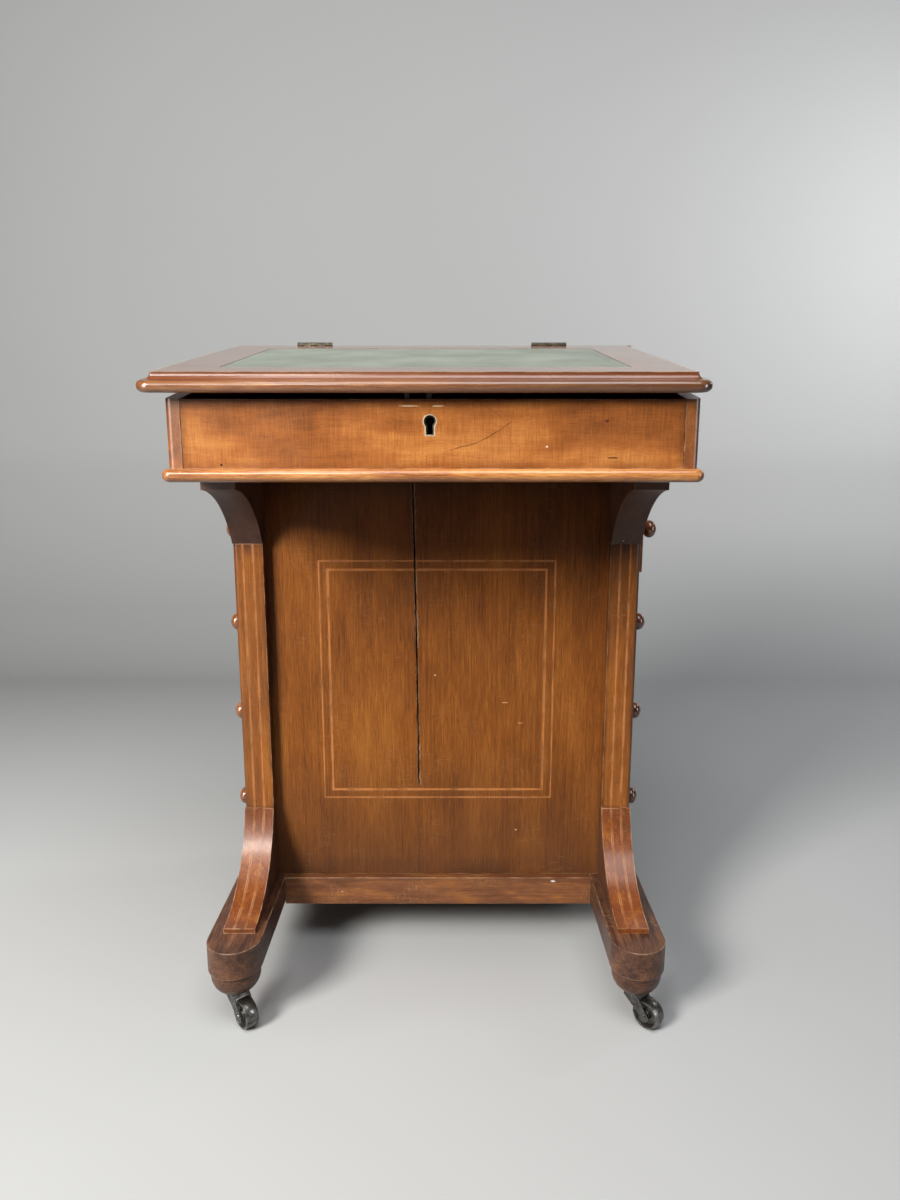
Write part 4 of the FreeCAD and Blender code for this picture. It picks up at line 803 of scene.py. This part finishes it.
def turn_corners(shape, place, back):
    """Leads the moulded edge of a board round its two free corners in a true turn. The board lies at a
    place, and its free corners are at its front, or at its back if back is 1."""
    shape.transform(place.inverted())
    low = [min(v.co[axis] for v in shape.verts) for axis in range(3)]
    high = [max(v.co[axis] for v in shape.verts) for axis in range(3)]
    outline = outside_of_edge(low[2], high[2])
    centre_y = high[1] - EDGE["turn"] if back > 0 else low[1] + EDGE["turn"]
    cutters = []
    for side, centre_x in ((-1, low[0] + EDGE["turn"]), (1, high[0] - EDGE["turn"])):
        cutters.append(skinned([[(centre_x + side * u * math.cos(a), centre_y + back * u * math.sin(a), z)
                                 for u, z in outline] for a in np.linspace(0, math.pi / 2, 15)]))
    turned = cut_away(shape, cutters)
    turned.transform(place)
    return turned


# the keyhole as keys have worn it: its eye, half its slot, how far the slot drops, and its lining
KEYHOLE = {"radius": 6.0 * MM, "half_slot": 4.0 * MM, "drop": 13.0 * MM, "liner": 1.1 * MM}


def keyhole_ring(y, grow):
    """The keyhole's outline at a depth, grown by some clearance: a round eye over a slot."""
    low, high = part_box("keyhole_liner")
    x, z = (low.x + high.x) / 2, high.z - KEYHOLE["radius"]
    radius, half = KEYHOLE["radius"] + grow, KEYHOLE["half_slot"] + grow
    neck = math.asin(half / radius)
    ring = [(x + radius * math.sin(a), y, z - radius * math.cos(a))
            for a in np.linspace(neck, 2 * math.pi - neck, 31)]
    foot = z - KEYHOLE["drop"] - grow
    return ring + [(x - half, y, foot), (x + half, y, foot)]


def bore_keyhole(shape):
    """Widens the keyhole in the front board to take its worn liner."""
    low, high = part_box("box_front")
    ends = (low.y - 2 * MM, high.y + 2 * MM)
    return cut_away(shape, [skinned([keyhole_ring(y, KEYHOLE["liner"]) for y in ends])])


def ease(shape):
    """Marks the arrises, in short lengths that are worn by different amounts."""
    weight = shape.edges.layers.float.new("bevel_weight_edge")
    sharp = [e for e in shape.edges if len(e.link_faces) == 2 and e.calc_face_angle(0.0) > SHARP]
    for edge in list(sharp):
        parts = int(edge.calc_length() / UNEVEN)
        for left in range(parts, 1, -1):
            new_edge, _ = bmesh.utils.edge_split(edge, edge.verts[0], 1 / left)
            sharp.append(new_edge)
    for edge in sharp:
        middle = (edge.verts[0].co + edge.verts[1].co) / 2
        edge[weight] = 0.62 + 0.38 * max(-1.0, min(1.0, 1.6 * noise.noise(middle / UNEVEN)))


def islands(mesh):
    """For each vertex, the number of the separate solid that it belongs to."""
    label = np.arange(len(mesh.vertices))
    ends = np.empty(len(mesh.edges) * 2, int)
    mesh.edges.foreach_get("vertices", ends)
    one, two = ends.reshape(-1, 2).T
    while True:
        before = label.copy()
        np.minimum.at(label, one, label[two])
        np.minimum.at(label, two, label[one])
        label = label[label]
        if (label == before).all():
            return np.unique(label, return_inverse=True)[1]


def points_of(mesh):
    """The places of a mesh's vertices, as an array."""
    points = np.empty(len(mesh.vertices) * 3)
    mesh.vertices.foreach_get("co", points)
    return points.reshape(-1, 3)


def store(mesh, name, kind, values):
    """Keeps a number or a vector for each vertex, as an attribute of the mesh."""
    layer = mesh.attributes.new(name, kind, "POINT")
    flat = np.ascontiguousarray(values, np.float32).ravel()
    layer.data.foreach_set("value" if kind == "FLOAT" else "vector", flat)


def lay_grain(mesh, order=""):
    """Gives each solid its own grain: where a point is along, across and through it, half its size,
    and a number of its own. The grain runs along the longest side unless an order such as ZXY is given."""
    points = points_of(mesh)
    solid = islands(mesh)
    draw = random.Random(mesh.name)
    place, reach, number = np.zeros_like(points), np.zeros_like(points), np.zeros(len(points))
    for k in range(solid.max() + 1):
        mine = solid == k
        low, high = points[mine].min(0), points[mine].max(0)
        size = high - low
        axes = ["XYZ".index(letter) for letter in order] or sorted(range(3), key=lambda a: -size[a])
        place[mine] = (points[mine] - (low + high) / 2)[:, axes]
        reach[mine] = (size / 2)[axes]
        number[mine] = draw.random()
    store(mesh, "grain", "FLOAT_VECTOR", place)
    store(mesh, "reach", "FLOAT_VECTOR", reach)
    store(mesh, "board", "FLOAT", number)


def settle(piece):
    """Turns a piece with modifiers into a plain mesh."""
    bpy.context.view_layer.update()
    graph = bpy.context.evaluated_depsgraph_get()
    mesh = bpy.data.meshes.new_from_object(piece.evaluated_get(graph), depsgraph=graph)
    mesh.name = piece.name
    piece.modifiers.clear()
    piece.data = mesh
    return mesh


def dress(node, maker, arris=0.0, order="", shaping=None):
    """Makes the finished copy of a CAD node: joined, shaped further where a function for that is given,
    with eased and uneven arrises, smooth where it is round, grained and polished. It stands for the node
    and rides with the node's body."""
    shape = joined(node)
    if shaping:
        shape = shaping(shape)
    if arris:
        ease(shape)
    name = f"{node}_finished"
    mesh = bpy.data.meshes.new(name)
    shape.to_mesh(mesh)
    shape.free()
    mesh.shade_smooth()
    piece = bpy.data.objects.new(name, mesh)
    bpy.context.scene.collection.objects.link(piece)
    if arris:
        bevel = piece.modifiers.new("Arris", "BEVEL")
        bevel.limit_method = "WEIGHT"
        bevel.width = arris
        bevel.segments = 2
        bevel.use_clamp_overlap = True
    else:
        mesh.set_sharp_from_angle(angle=SHARP)
    even = piece.modifiers.new("Even shading", "WEIGHTED_NORMAL")
    even.keep_sharp = True
    mesh = settle(piece)
    lay_grain(mesh, order)
    mesh.materials.clear()
    mesh.materials.append(finish(maker))
    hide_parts(node)
    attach(piece, BODY_OF[node])


def new_piece(name, mesh, maker, body):
    """A piece that is added to the CAD ones."""
    piece = bpy.data.objects.new(name, mesh)
    bpy.context.scene.collection.objects.link(piece)
    mesh.materials.clear()
    mesh.materials.append(finish(maker))
    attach(piece, body)
    return piece


# ---------------------------------------------------------------- repeated fittings

def socket(tree, name, kind, default=None):
    """An input of a Geometry Nodes tree, with its default where it has one."""
    made = tree.interface.new_socket(name=name, in_out="INPUT", socket_type=kind)
    if default is not None:
        made.default_value = default


def new_tree(name):
    """A Geometry Nodes tree that takes points and hands back what it makes on them."""
    tree = bpy.data.node_groups.new(name, "GeometryNodeTree")
    socket(tree, "Geometry", "NodeSocketGeometry")
    tree.interface.new_socket(name="Geometry", in_out="OUTPUT", socket_type="NodeSocketGeometry")
    return tree


def run_tree(name, tree, points, facing, inputs):
    """Runs a tree on bare points, each with a direction, and returns the plain mesh."""
    mesh = bpy.data.meshes.new(name)
    mesh.from_pydata(points, [], [])
    store(mesh, "facing", "FLOAT_VECTOR", np.array(facing))
    holder = bpy.data.objects.new(name, mesh)
    bpy.context.scene.collection.objects.link(holder)
    modifier = holder.modifiers.new("Repeat", "NODES")
    modifier.node_group = tree
    for item in tree.interface.items_tree:
        if item.item_type == "SOCKET" and item.in_out == "INPUT" and item.name in inputs:
            modifier[item.identifier] = inputs[item.name]
    result = settle(holder)
    bpy.data.objects.remove(holder)
    result.name = name
    return result


def screw_tree():
    """Slotted screw heads on points, each turned by chance and facing its own way."""
    tree = new_tree("Slotted screws")
    socket(tree, "Head radius", "NodeSocketFloat", 2.0 * MM)
    socket(tree, "Slot width", "NodeSocketFloat", 0.7 * MM)
    socket(tree, "Seed", "NodeSocketInt", 4)
    socket(tree, "Material", "NodeSocketMaterial")
    given = add(tree, "NodeGroupInput", out="all")
    depth = 1.2 * MM
    head = add(tree, "GeometryNodeMeshCylinder",
               named={"Vertices": 24, "Radius": given["Head radius"], "Depth": depth})
    long = add(tree, MATH, given["Head radius"], 3.0, operation="MULTIPLY")
    slot_size = add(tree, "ShaderNodeCombineXYZ", long, given["Slot width"], depth)
    bar = add(tree, "GeometryNodeMeshCube", slot_size)
    bar = add(tree, "GeometryNodeTransform", named={"Geometry": bar, "Translation": (0.0, 0.0, depth * 0.7)})
    slotted = add(tree, "GeometryNodeMeshBoolean", head, bar, operation="DIFFERENCE")
    way = add(tree, "GeometryNodeInputNamedAttribute", "facing", data_type="FLOAT_VECTOR")
    turned = add(tree, "FunctionNodeAlignRotationToVector", named={"Vector": way}, axis="Z")
    chance = add(tree, "FunctionNodeRandomValue", 0.0, math.pi, named={"Seed": given["Seed"]},
                 data_type="FLOAT")
    spin = add(tree, "FunctionNodeAxisAngleToRotation", (0.0, 0.0, 1.0), chance)
    turned = add(tree, "FunctionNodeRotateRotation", turned, spin, rotation_space="LOCAL")
    placed = add(tree, "GeometryNodeInstanceOnPoints",
                 named={"Points": given["Geometry"], "Instance": slotted, "Rotation": turned})
    whole = add(tree, "GeometryNodeRealizeInstances", placed)
    whole = add(tree, "GeometryNodeSetMaterial", named={"Geometry": whole, "Material": given["Material"]})
    add(tree, "NodeGroupOutput", whole)
    return tree


def tail_tree():
    """Dovetails of a drawer side, let into the end of the drawer's front: flared plates on points."""
    tree = new_tree("Drawer dovetails")
    socket(tree, "Tail width", "NodeSocketFloat", 15.0 * MM)
    socket(tree, "Neck width", "NodeSocketFloat", 11.0 * MM)
    socket(tree, "Tail length", "NodeSocketFloat", 12.0 * MM)
    socket(tree, "Thickness", "NodeSocketFloat", 0.2 * MM)
    socket(tree, "Material", "NodeSocketMaterial")
    given = add(tree, "NodeGroupInput", out="all")
    outline = add(tree, "GeometryNodeCurvePrimitiveQuadrilateral",
                  named={"Bottom Width": given["Neck width"], "Top Width": given["Tail width"],
                         "Height": given["Tail length"], "Offset": 0.0}, mode="TRAPEZOID")
    plate = add(tree, "GeometryNodeFillCurve", outline)
    plate = add(tree, "GeometryNodeExtrudeMesh", named={"Mesh": plate, "Offset Scale": given["Thickness"]})
    way = add(tree, "GeometryNodeInputNamedAttribute", "facing", data_type="FLOAT_VECTOR")
    turned = add(tree, "FunctionNodeAlignRotationToVector", named={"Vector": way}, axis="Z")
    placed = add(tree, "GeometryNodeInstanceOnPoints",
                 named={"Points": given["Geometry"], "Instance": plate, "Rotation": turned})
    whole = add(tree, "GeometryNodeRealizeInstances", placed)
    whole = add(tree, "GeometryNodeSetMaterial", named={"Geometry": whole, "Material": given["Material"]})
    add(tree, "NodeGroupOutput", whole)
    return tree


# ---------------------------------------------------------------- the pieces, group by group

class DAVENPORT_OT_writing_box(bpy.types.Operator):
    """Finishes the writing box and the nest of pigeonholes in it"""
    bl_idname = "davenport.writing_box"
    bl_label = "Writing box"

    def execute(self, context):
        arris = sizes().arris
        dress("box_front", box_veneer, arris * 0.7, "XZY", bore_keyhole)
        for side in SIDES:
            dress(f"box_side_{side}", side_veneer, arris * 0.8, "YZX")
            dress(f"small_drawer_{side}", small_drawer_wood, arris * 0.5)
        dress("box_back", figured_veneer, arris * 0.7)
        dress("box_bottom", moulding_wood, arris * 0.4)
        dress("ledge_top", ledge_wood, arris * 0.6, shaping=lambda shape: turn_corners(shape, Matrix(), 1))
        dress("pigeonhole_nest", small_drawer_wood, arris * 0.4)
        return {"FINISHED"}


class DAVENPORT_OT_lid(bpy.types.Operator):
    """Finishes the sloping lid and the leather let into it"""
    bl_idname = "davenport.lid"
    bl_label = "Lid and leather"

    def execute(self, context):
        slope = Matrix.Translation(JOINT_AT["lid_hinge"]) @ Matrix.Rotation(LID_SLOPE, 4, "X")
        dress("lid_board", lid_wood, sizes().arris * 0.6,
              shaping=lambda shape: turn_corners(shape, slope, -1))
        dress("leather_panel", green_leather, sizes().arris * 0.4)
        return {"FINISHED"}


class DAVENPORT_OT_metalwork(bpy.types.Operator):
    """Finishes the hinges, the lock, the keyhole's liner and the link plate"""
    bl_idname = "davenport.metalwork"
    bl_label = "Hinges and lock"

    def execute(self, context):
        fine = sizes().arris * 0.25
        for node in ("ledge_hinge_leaves", "lid_hinge_leaves", "lock_case", "lock_bolt", "link_plate"):
            dress(node, aged_brass, fine)
        self.liner()
        return {"FINISHED"}

    def liner(self):
        """A thin lining of the widened keyhole, as deep as the one it stands for."""
        low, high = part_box("keyhole_liner")
        thick, proud, eased = KEYHOLE["liner"], 0.2 * MM, 0.3 * MM
        section = ((low.y - proud, eased), (low.y, 0.0), (high.y, 0.0), (high.y, thick), (low.y, thick),
                   (low.y - proud, thick - eased))
        shape = skinned([keyhole_ring(y, grow) for y, grow in section], closed_ends=False)
        mesh = bpy.data.meshes.new("keyhole_liner_worn")
        shape.to_mesh(mesh)
        shape.free()
        piece = new_piece("keyhole_liner_worn", mesh, worn_liner, "case")
        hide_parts("keyhole_liner")


class DAVENPORT_OT_pedestal(bpy.types.Operator):
    """Finishes the front panel with its inlaid lines and split, and the rest of the pedestal's case"""
    bl_idname = "davenport.pedestal"
    bl_label = "Pedestal"

    def execute(self, context):
        arris = sizes().arris
        dress("front_panel", panel_veneer, arris * 0.3, "ZXY")
        dress("panel_stringing", boxwood_line)
        dress("back_panel", case_veneer, arris)
        dress("corner_posts", case_veneer, arris * 1.2)
        dress("drawer_rails", case_veneer, arris * 0.6)
        dress("base_rails", rail_wood, arris * 1.2)
        dress("carcase_linings", deal, arris * 0.5)
        dress("drawer_runners", deal, arris * 0.5)
        return {"FINISHED"}


class DAVENPORT_OT_drawers(bpy.types.Operator):
    """Finishes the four drawers and the four dummy fronts, and lets the dovetails in"""
    bl_idname = "davenport.drawers"
    bl_label = "Drawers"

    def execute(self, context):
        arris = sizes().arris
        tree = tail_tree()
        for number in range(1, 5):
            dress(f"drawer_{number}_front", figured_veneer, arris * 1.3)
            dress(f"drawer_{number}_box", deal, arris * 0.6)
            self.dovetails(number, tree)
        dress("dummy_fronts", figured_veneer, arris * 1.3)
        return {"FINISHED"}

    def dovetails(self, number, tree):
        """The tails that show on the two ends of a drawer's front. One is drawn lying, with its length along
        +Y and its face upwards, and is then stood on each end."""
        size = sizes()
        low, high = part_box(f"drawer_{number}_front")
        middle = (low.z + high.z) / 2
        x = low.x + size.tail_length / 2
        for name, y, way in (("near", low.y, -1), ("far", high.y, 1)):
            stand = Matrix(((0, 1, 0, 0), (0, 0, way, 0), (1, 0, 0, 0), (0, 0, 0, 1)))
            flat = run_tree(f"drawer_{number}_dovetails_{name}", tree, [(0, 0, 0)], [(0, 0, 1)],
                            {"Material": finish(deal), "Tail length": size.tail_length})
            whole = bmesh.new()
            for step in range(size.tails):
                z = middle + (step - (size.tails - 1) / 2) * size.tail_pitch
                copy = flat.copy()
                copy.transform(Matrix.Translation((x, y, z)) @ stand)
                whole.from_mesh(copy)
                bpy.data.meshes.remove(copy)
            bmesh.ops.recalc_face_normals(whole, faces=whole.faces)
            whole.to_mesh(flat)
            whole.free()
            lay_grain(flat, "XZY")
            new_piece(flat.name, flat, deal, f"drawer_{number}")


class DAVENPORT_OT_knobs(bpy.types.Operator):
    """Finishes the turned knobs of the drawers and of the dummy fronts"""
    bl_idname = "davenport.knobs"
    bl_label = "Knobs"

    def execute(self, context):
        for node in ["dummy_knobs"] + [f"drawer_{number}_knobs" for number in range(1, 5)]:
            dress(node, knob_wood, order="XYZ")
        return {"FINISHED"}


class DAVENPORT_OT_front_members(bpy.types.Operator):
    """Finishes the pilasters, brackets, legs and their strips, and the inlaid lines"""
    bl_idname = "davenport.front_members"
    bl_label = "Pilasters, brackets and legs"

    def execute(self, context):
        arris = sizes().arris
        for side in SIDES:
            dress(f"pilaster_{side}", pilaster_wood, arris * 0.5)
            dress(f"bracket_{side}", bracket_wood, arris)
            dress(f"leg_{side}", bracket_wood, arris, "ZYX")
        dress("leg_strips", strip_wood, order="ZXY")
        dress("pilaster_stringing", boxwood_line)
        return {"FINISHED"}


class DAVENPORT_OT_feet(bpy.types.Operator):
    """Finishes the foot runners, the turned pads and the castors"""
    bl_idname = "davenport.feet"
    bl_label = "Feet and castors"

    def execute(self, context):
        worn = sizes().worn_arris
        for side in SIDES:
            dress(f"foot_runner_{side}", foot_wood, worn, "YXZ")
        dress("turned_pads", foot_wood, order="XYZ")
        dress("castor_plates", dark_iron, sizes().arris * 0.3)
        for corner in CORNERS:
            dress(f"castor_fork_{corner}", dark_iron, sizes().arris * 0.5)
            dress(f"castor_wheel_{corner}", dark_iron)
        return {"FINISHED"}


SUNK = 0.45 * MM            # how deep a screw head's middle lies in the metal
LOCK_INSET = 10 * MM        # from the ends of the lock's case to its screws
LIP_BACK = 4 * MM           # from the middle of the lock's lip back to its screws
CASTOR_RING = 11 * MM       # radius of the ring of screws in a castor's plate
CASTOR_SCREWS = 3
CASTOR_TURN = 0.4           # how far round the first of them lies
HINGE_HALF = 24 * MM        # half the length of a hinge
HINGE_PITCH = 16 * MM       # from one screw of a hinge leaf to the next
LEAF_FACE = 1.2 * MM        # from the hinge's pin to the face of a leaf


class DAVENPORT_OT_screws(bpy.types.Operator):
    """Drives the screws of the lock, the hinges and the castor plates"""
    bl_idname = "davenport.screws"
    bl_label = "Screws"

    def execute(self, context):
        size = sizes()
        in_ledge, in_lid = self.in_hinges()
        tree = screw_tree()
        for name, body, group in (("screws_in_case", "case", self.in_lock() + self.in_castors() + in_ledge),
                                  ("screws_in_lid", "lid", in_lid)):
            points = [point for point, _ in group]
            facing = [way for _, way in group]
            mesh = run_tree(name, tree, points, facing,
                            {"Material": finish(aged_brass), "Head radius": size.screw_head,
                             "Slot width": size.screw_slot})
            new_piece(name, mesh, aged_brass, body)
        return {"FINISHED"}

    def in_lock(self):
        """Four screws in the back of the lock's case and two in its lip, each a point and a way to face."""
        low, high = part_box("lock_case")
        middle = (low.x + high.x) / 2
        lip_y = (low.y + high.y) / 2 + LIP_BACK
        screws = []
        for x in (low.x + LOCK_INSET, high.x - LOCK_INSET):
            for z in (low.z + LOCK_INSET * 0.6, high.z - LOCK_INSET * 0.9):
                screws.append(((x, high.y - SUNK, z), (0, 1, 0)))
            screws.append(((x + (middle - x) * 0.02, lip_y, high.z - SUNK), (0, 0, 1)))
        return screws

    def in_castors(self):
        """A ring of screws in each castor's plate, facing down."""
        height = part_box("castor_plates")[0].z + SUNK
        screws = []
        for corner in CORNERS:
            x, y, _ = JOINT_AT[f"castor_{corner}_swivel"]
            for step in range(CASTOR_SCREWS):
                angle = 2 * math.pi * step / CASTOR_SCREWS + CASTOR_TURN
                point = (x + CASTOR_RING * math.cos(angle), y + CASTOR_RING * math.sin(angle), height)
                screws.append((point, (0, 0, -1)))
        return screws

    def in_hinges(self):
        """Three screws, the middle one lower, in each leaf of the two hinges: those in the ledge's leaves,
        and those in the lid's."""
        leaves = []
        for node, way in (("ledge_hinge_leaves", -1), ("lid_hinge_leaves", 1)):
            low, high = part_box(node)
            y = JOINT_AT["lid_hinge"][1] - way * LEAF_FACE - way * SUNK
            leaves.append([((centre + step * HINGE_PITCH, y, low.z + (5 + 3 * abs(step)) * MM), (0, way, 0))
                           for centre in (low.x + HINGE_HALF, high.x - HINGE_HALF) for step in (-1, 0, 1)])
        return leaves


# ---------------------------------------------------------------- studio

CAMERA_PLACE = (0.01689, -1.07069, 0.69741)
CAMERA_PITCH = math.radians(10.7)
LENS = 24.57                # millimetres, on a film of FILM millimetres
FILM = 36
SWEEP = {"front": -3.5, "wall": 1.9, "radius": 0.6, "half_width": 4.0, "height": 4.0}


def studio_paper():
    """A pale paper sweep, with painted shade where the floor turns up into the wall. It throws back less
    light than it shows, as a small sheet in a dark room does."""
    material, tree, shader = new_material("studio_paper_matt")
    here = add(tree, PLACE, out="Object")
    where = add(tree, SPLIT, here, out="all")
    base = colours().floor
    # painted shade: the sweep grows darker towards the back, where the floor turns up into the wall
    far = add(tree, MATH, add(tree, RANGE, where[1], 0.2, 1.3), add(tree, RANGE, where[2], 0.70, 0.15),
              operation="MULTIPLY")
    mottle = patches(tree, here, 0.5, 0.3, 0.7)
    tone = overlaid(tree, base, ((far, 0.45, shaded(base, 0.35)), (mottle, 0.06, shaded(base, 0.8))))
    ray = add(tree, "ShaderNodeLightPath", out="all")
    seen = add(tree, MATH, ray["Is Camera Ray"], ray["Is Glossy Ray"], operation="MAXIMUM")
    seen = add(tree, MATH, seen, ray["Is Transmission Ray"], operation="MAXIMUM")
    tone = add(tree, MIX, seen, shaded(base, 0.15), tone, data_type="RGBA")
    tree.links.new(tone, shader.inputs["Base Color"])
    shader.inputs["Roughness"].default_value = 0.85
    return material


class DAVENPORT_OT_studio(bpy.types.Operator):
    """Makes the pale floor that sweeps up behind, the soft lamps and the camera"""
    bl_idname = "davenport.studio"
    bl_label = "Studio"

    def execute(self, context):
        scene = context.scene
        self.sweep(scene)
        self.camera(scene)
        self.lamp("key_lamp", (-1.7, -1.9, 1.8), (0, -0.1, 0.5), (0.85, 0.85), 115, "FFFBF4")
        self.lamp("top_lamp", (0.1, -1.2, 2.8), (0, 0, 0.4), (1.7, 1.7), 47, "FCFDFF")
        self.lamp("backdrop_lamp", (1.9, 0.7, 1.5), (1.3, 1.9, 0.9), (0.6, 0.6), 16, "FFFFFF")
        # softboxes that show only in the gloss of the polish
        self.lamp("left_softbox", (-1.55, -1.5, 0.85), (0, -0.2, 0.7), (0.7, 1.1), 28, "FFFDF8", True)
        self.lamp("right_softbox", (1.8, -1.1, 0.85), (0, -0.2, 0.7), (0.4, 1.2), 14, "F6F9FF", True)
        self.lamp("high_softbox", (-0.75, -1.9, 1.9), (-0.1, -0.2, 0.7), (0.9, 0.5), 22, "FFFDF8", True)
        world = bpy.data.worlds.new("Soft studio light")
        scene.world = world
        world.use_nodes = True
        light = world.node_tree.nodes["Background"].inputs
        light["Color"].default_value = (*linear("E6E9EC"), 1.0)
        light["Strength"].default_value = 0.06
        scene.view_settings.view_transform = "Standard"
        return {"FINISHED"}

    def sweep(self, scene):
        """The floor, which turns up into the wall in a quarter of a round."""
        wall, radius, wide = SWEEP["wall"], SWEEP["radius"], SWEEP["half_width"]
        profile = [(SWEEP["front"], 0.0), (wall - radius, 0.0)]
        profile += [(wall - radius + radius * math.sin(a), radius - radius * math.cos(a))
                    for a in np.linspace(0, math.pi / 2, 24)[1:]]
        profile.append((wall, SWEEP["height"]))
        shape = bmesh.new()
        rows = [[shape.verts.new((x, y, z)) for x in (-wide, wide)] for y, z in profile]
        for one, two in zip(rows, rows[1:]):
            shape.faces.new((one[0], one[1], two[1], two[0]))
        mesh = bpy.data.meshes.new("floor_sweep")
        shape.to_mesh(mesh)
        shape.free()
        mesh.shade_smooth()
        mesh.materials.append(finish(studio_paper))
        floor = bpy.data.objects.new("floor_sweep", mesh)
        scene.collection.objects.link(floor)

    def camera(self, scene):
        """The camera, low in front of the desk and tipped down a little."""
        data = bpy.data.cameras.new("camera")
        data.sensor_fit = "VERTICAL"
        data.sensor_height = FILM
        data.sensor_width = FILM
        data.lens = LENS
        camera = bpy.data.objects.new("camera", data)
        camera.location = CAMERA_PLACE
        camera.rotation_euler = (math.pi / 2 - CAMERA_PITCH, 0, 0)
        scene.collection.objects.link(camera)
        scene.camera = camera

    def lamp(self, name, place, target, size, watts, code, only_gloss=False):
        """A flat rectangular lamp that points at a target. With only_gloss it lights no matt surface."""
        data = bpy.data.lights.new(name, "AREA")
        data.shape = "RECTANGLE"
        data.size, data.size_y = size
        data.energy = watts
        data.color = linear(code)
        lamp = bpy.data.objects.new(name, data)
        lamp.location = place
        lamp.visible_diffuse = not only_gloss
        aim = Vector(target) - Vector(place)
        lamp.rotation_euler = aim.to_track_quat("-Z", "Y").to_euler()
        bpy.context.scene.collection.objects.link(lamp)


# ---------------------------------------------------------------- panel and run

STEPS = (
    DAVENPORT_OT_studio,
    DAVENPORT_OT_writing_box,
    DAVENPORT_OT_lid,
    DAVENPORT_OT_metalwork,
    DAVENPORT_OT_pedestal,
    DAVENPORT_OT_drawers,
    DAVENPORT_OT_knobs,
    DAVENPORT_OT_front_members,
    DAVENPORT_OT_feet,
    DAVENPORT_OT_screws,
)


class DAVENPORT_PT_panel(bpy.types.Panel):
    """Lists the sizes, the colours and the steps"""
    bl_idname = "DAVENPORT_PT_panel"
    bl_label = "Davenport desk"
    bl_space_type = "VIEW_3D"
    bl_region_type = "UI"
    bl_category = "Davenport"

    def draw(self, context):
        for group in (context.scene.davenport_sizes, context.scene.davenport_colours):
            for name in group.__annotations__:
                self.layout.prop(group, name)
        for step in STEPS:
            self.layout.operator(step.bl_idname)


CLASSES = (DavenportSizes, DavenportColours, *STEPS, DAVENPORT_PT_panel)


def register():
    for cls in CLASSES:
        bpy.utils.register_class(cls)
    bpy.types.Scene.davenport_sizes = PointerProperty(type=DavenportSizes)
    bpy.types.Scene.davenport_colours = PointerProperty(type=DavenportColours)


def unregister():
    del bpy.types.Scene.davenport_colours
    del bpy.types.Scene.davenport_sizes
    for cls in reversed(CLASSES):
        bpy.utils.unregister_class(cls)


def main():
    register()
    for step in STEPS:
        group, name = step.bl_idname.split(".")
        getattr(getattr(bpy.ops, group), name)()


if __name__ == "__main__":
    main()
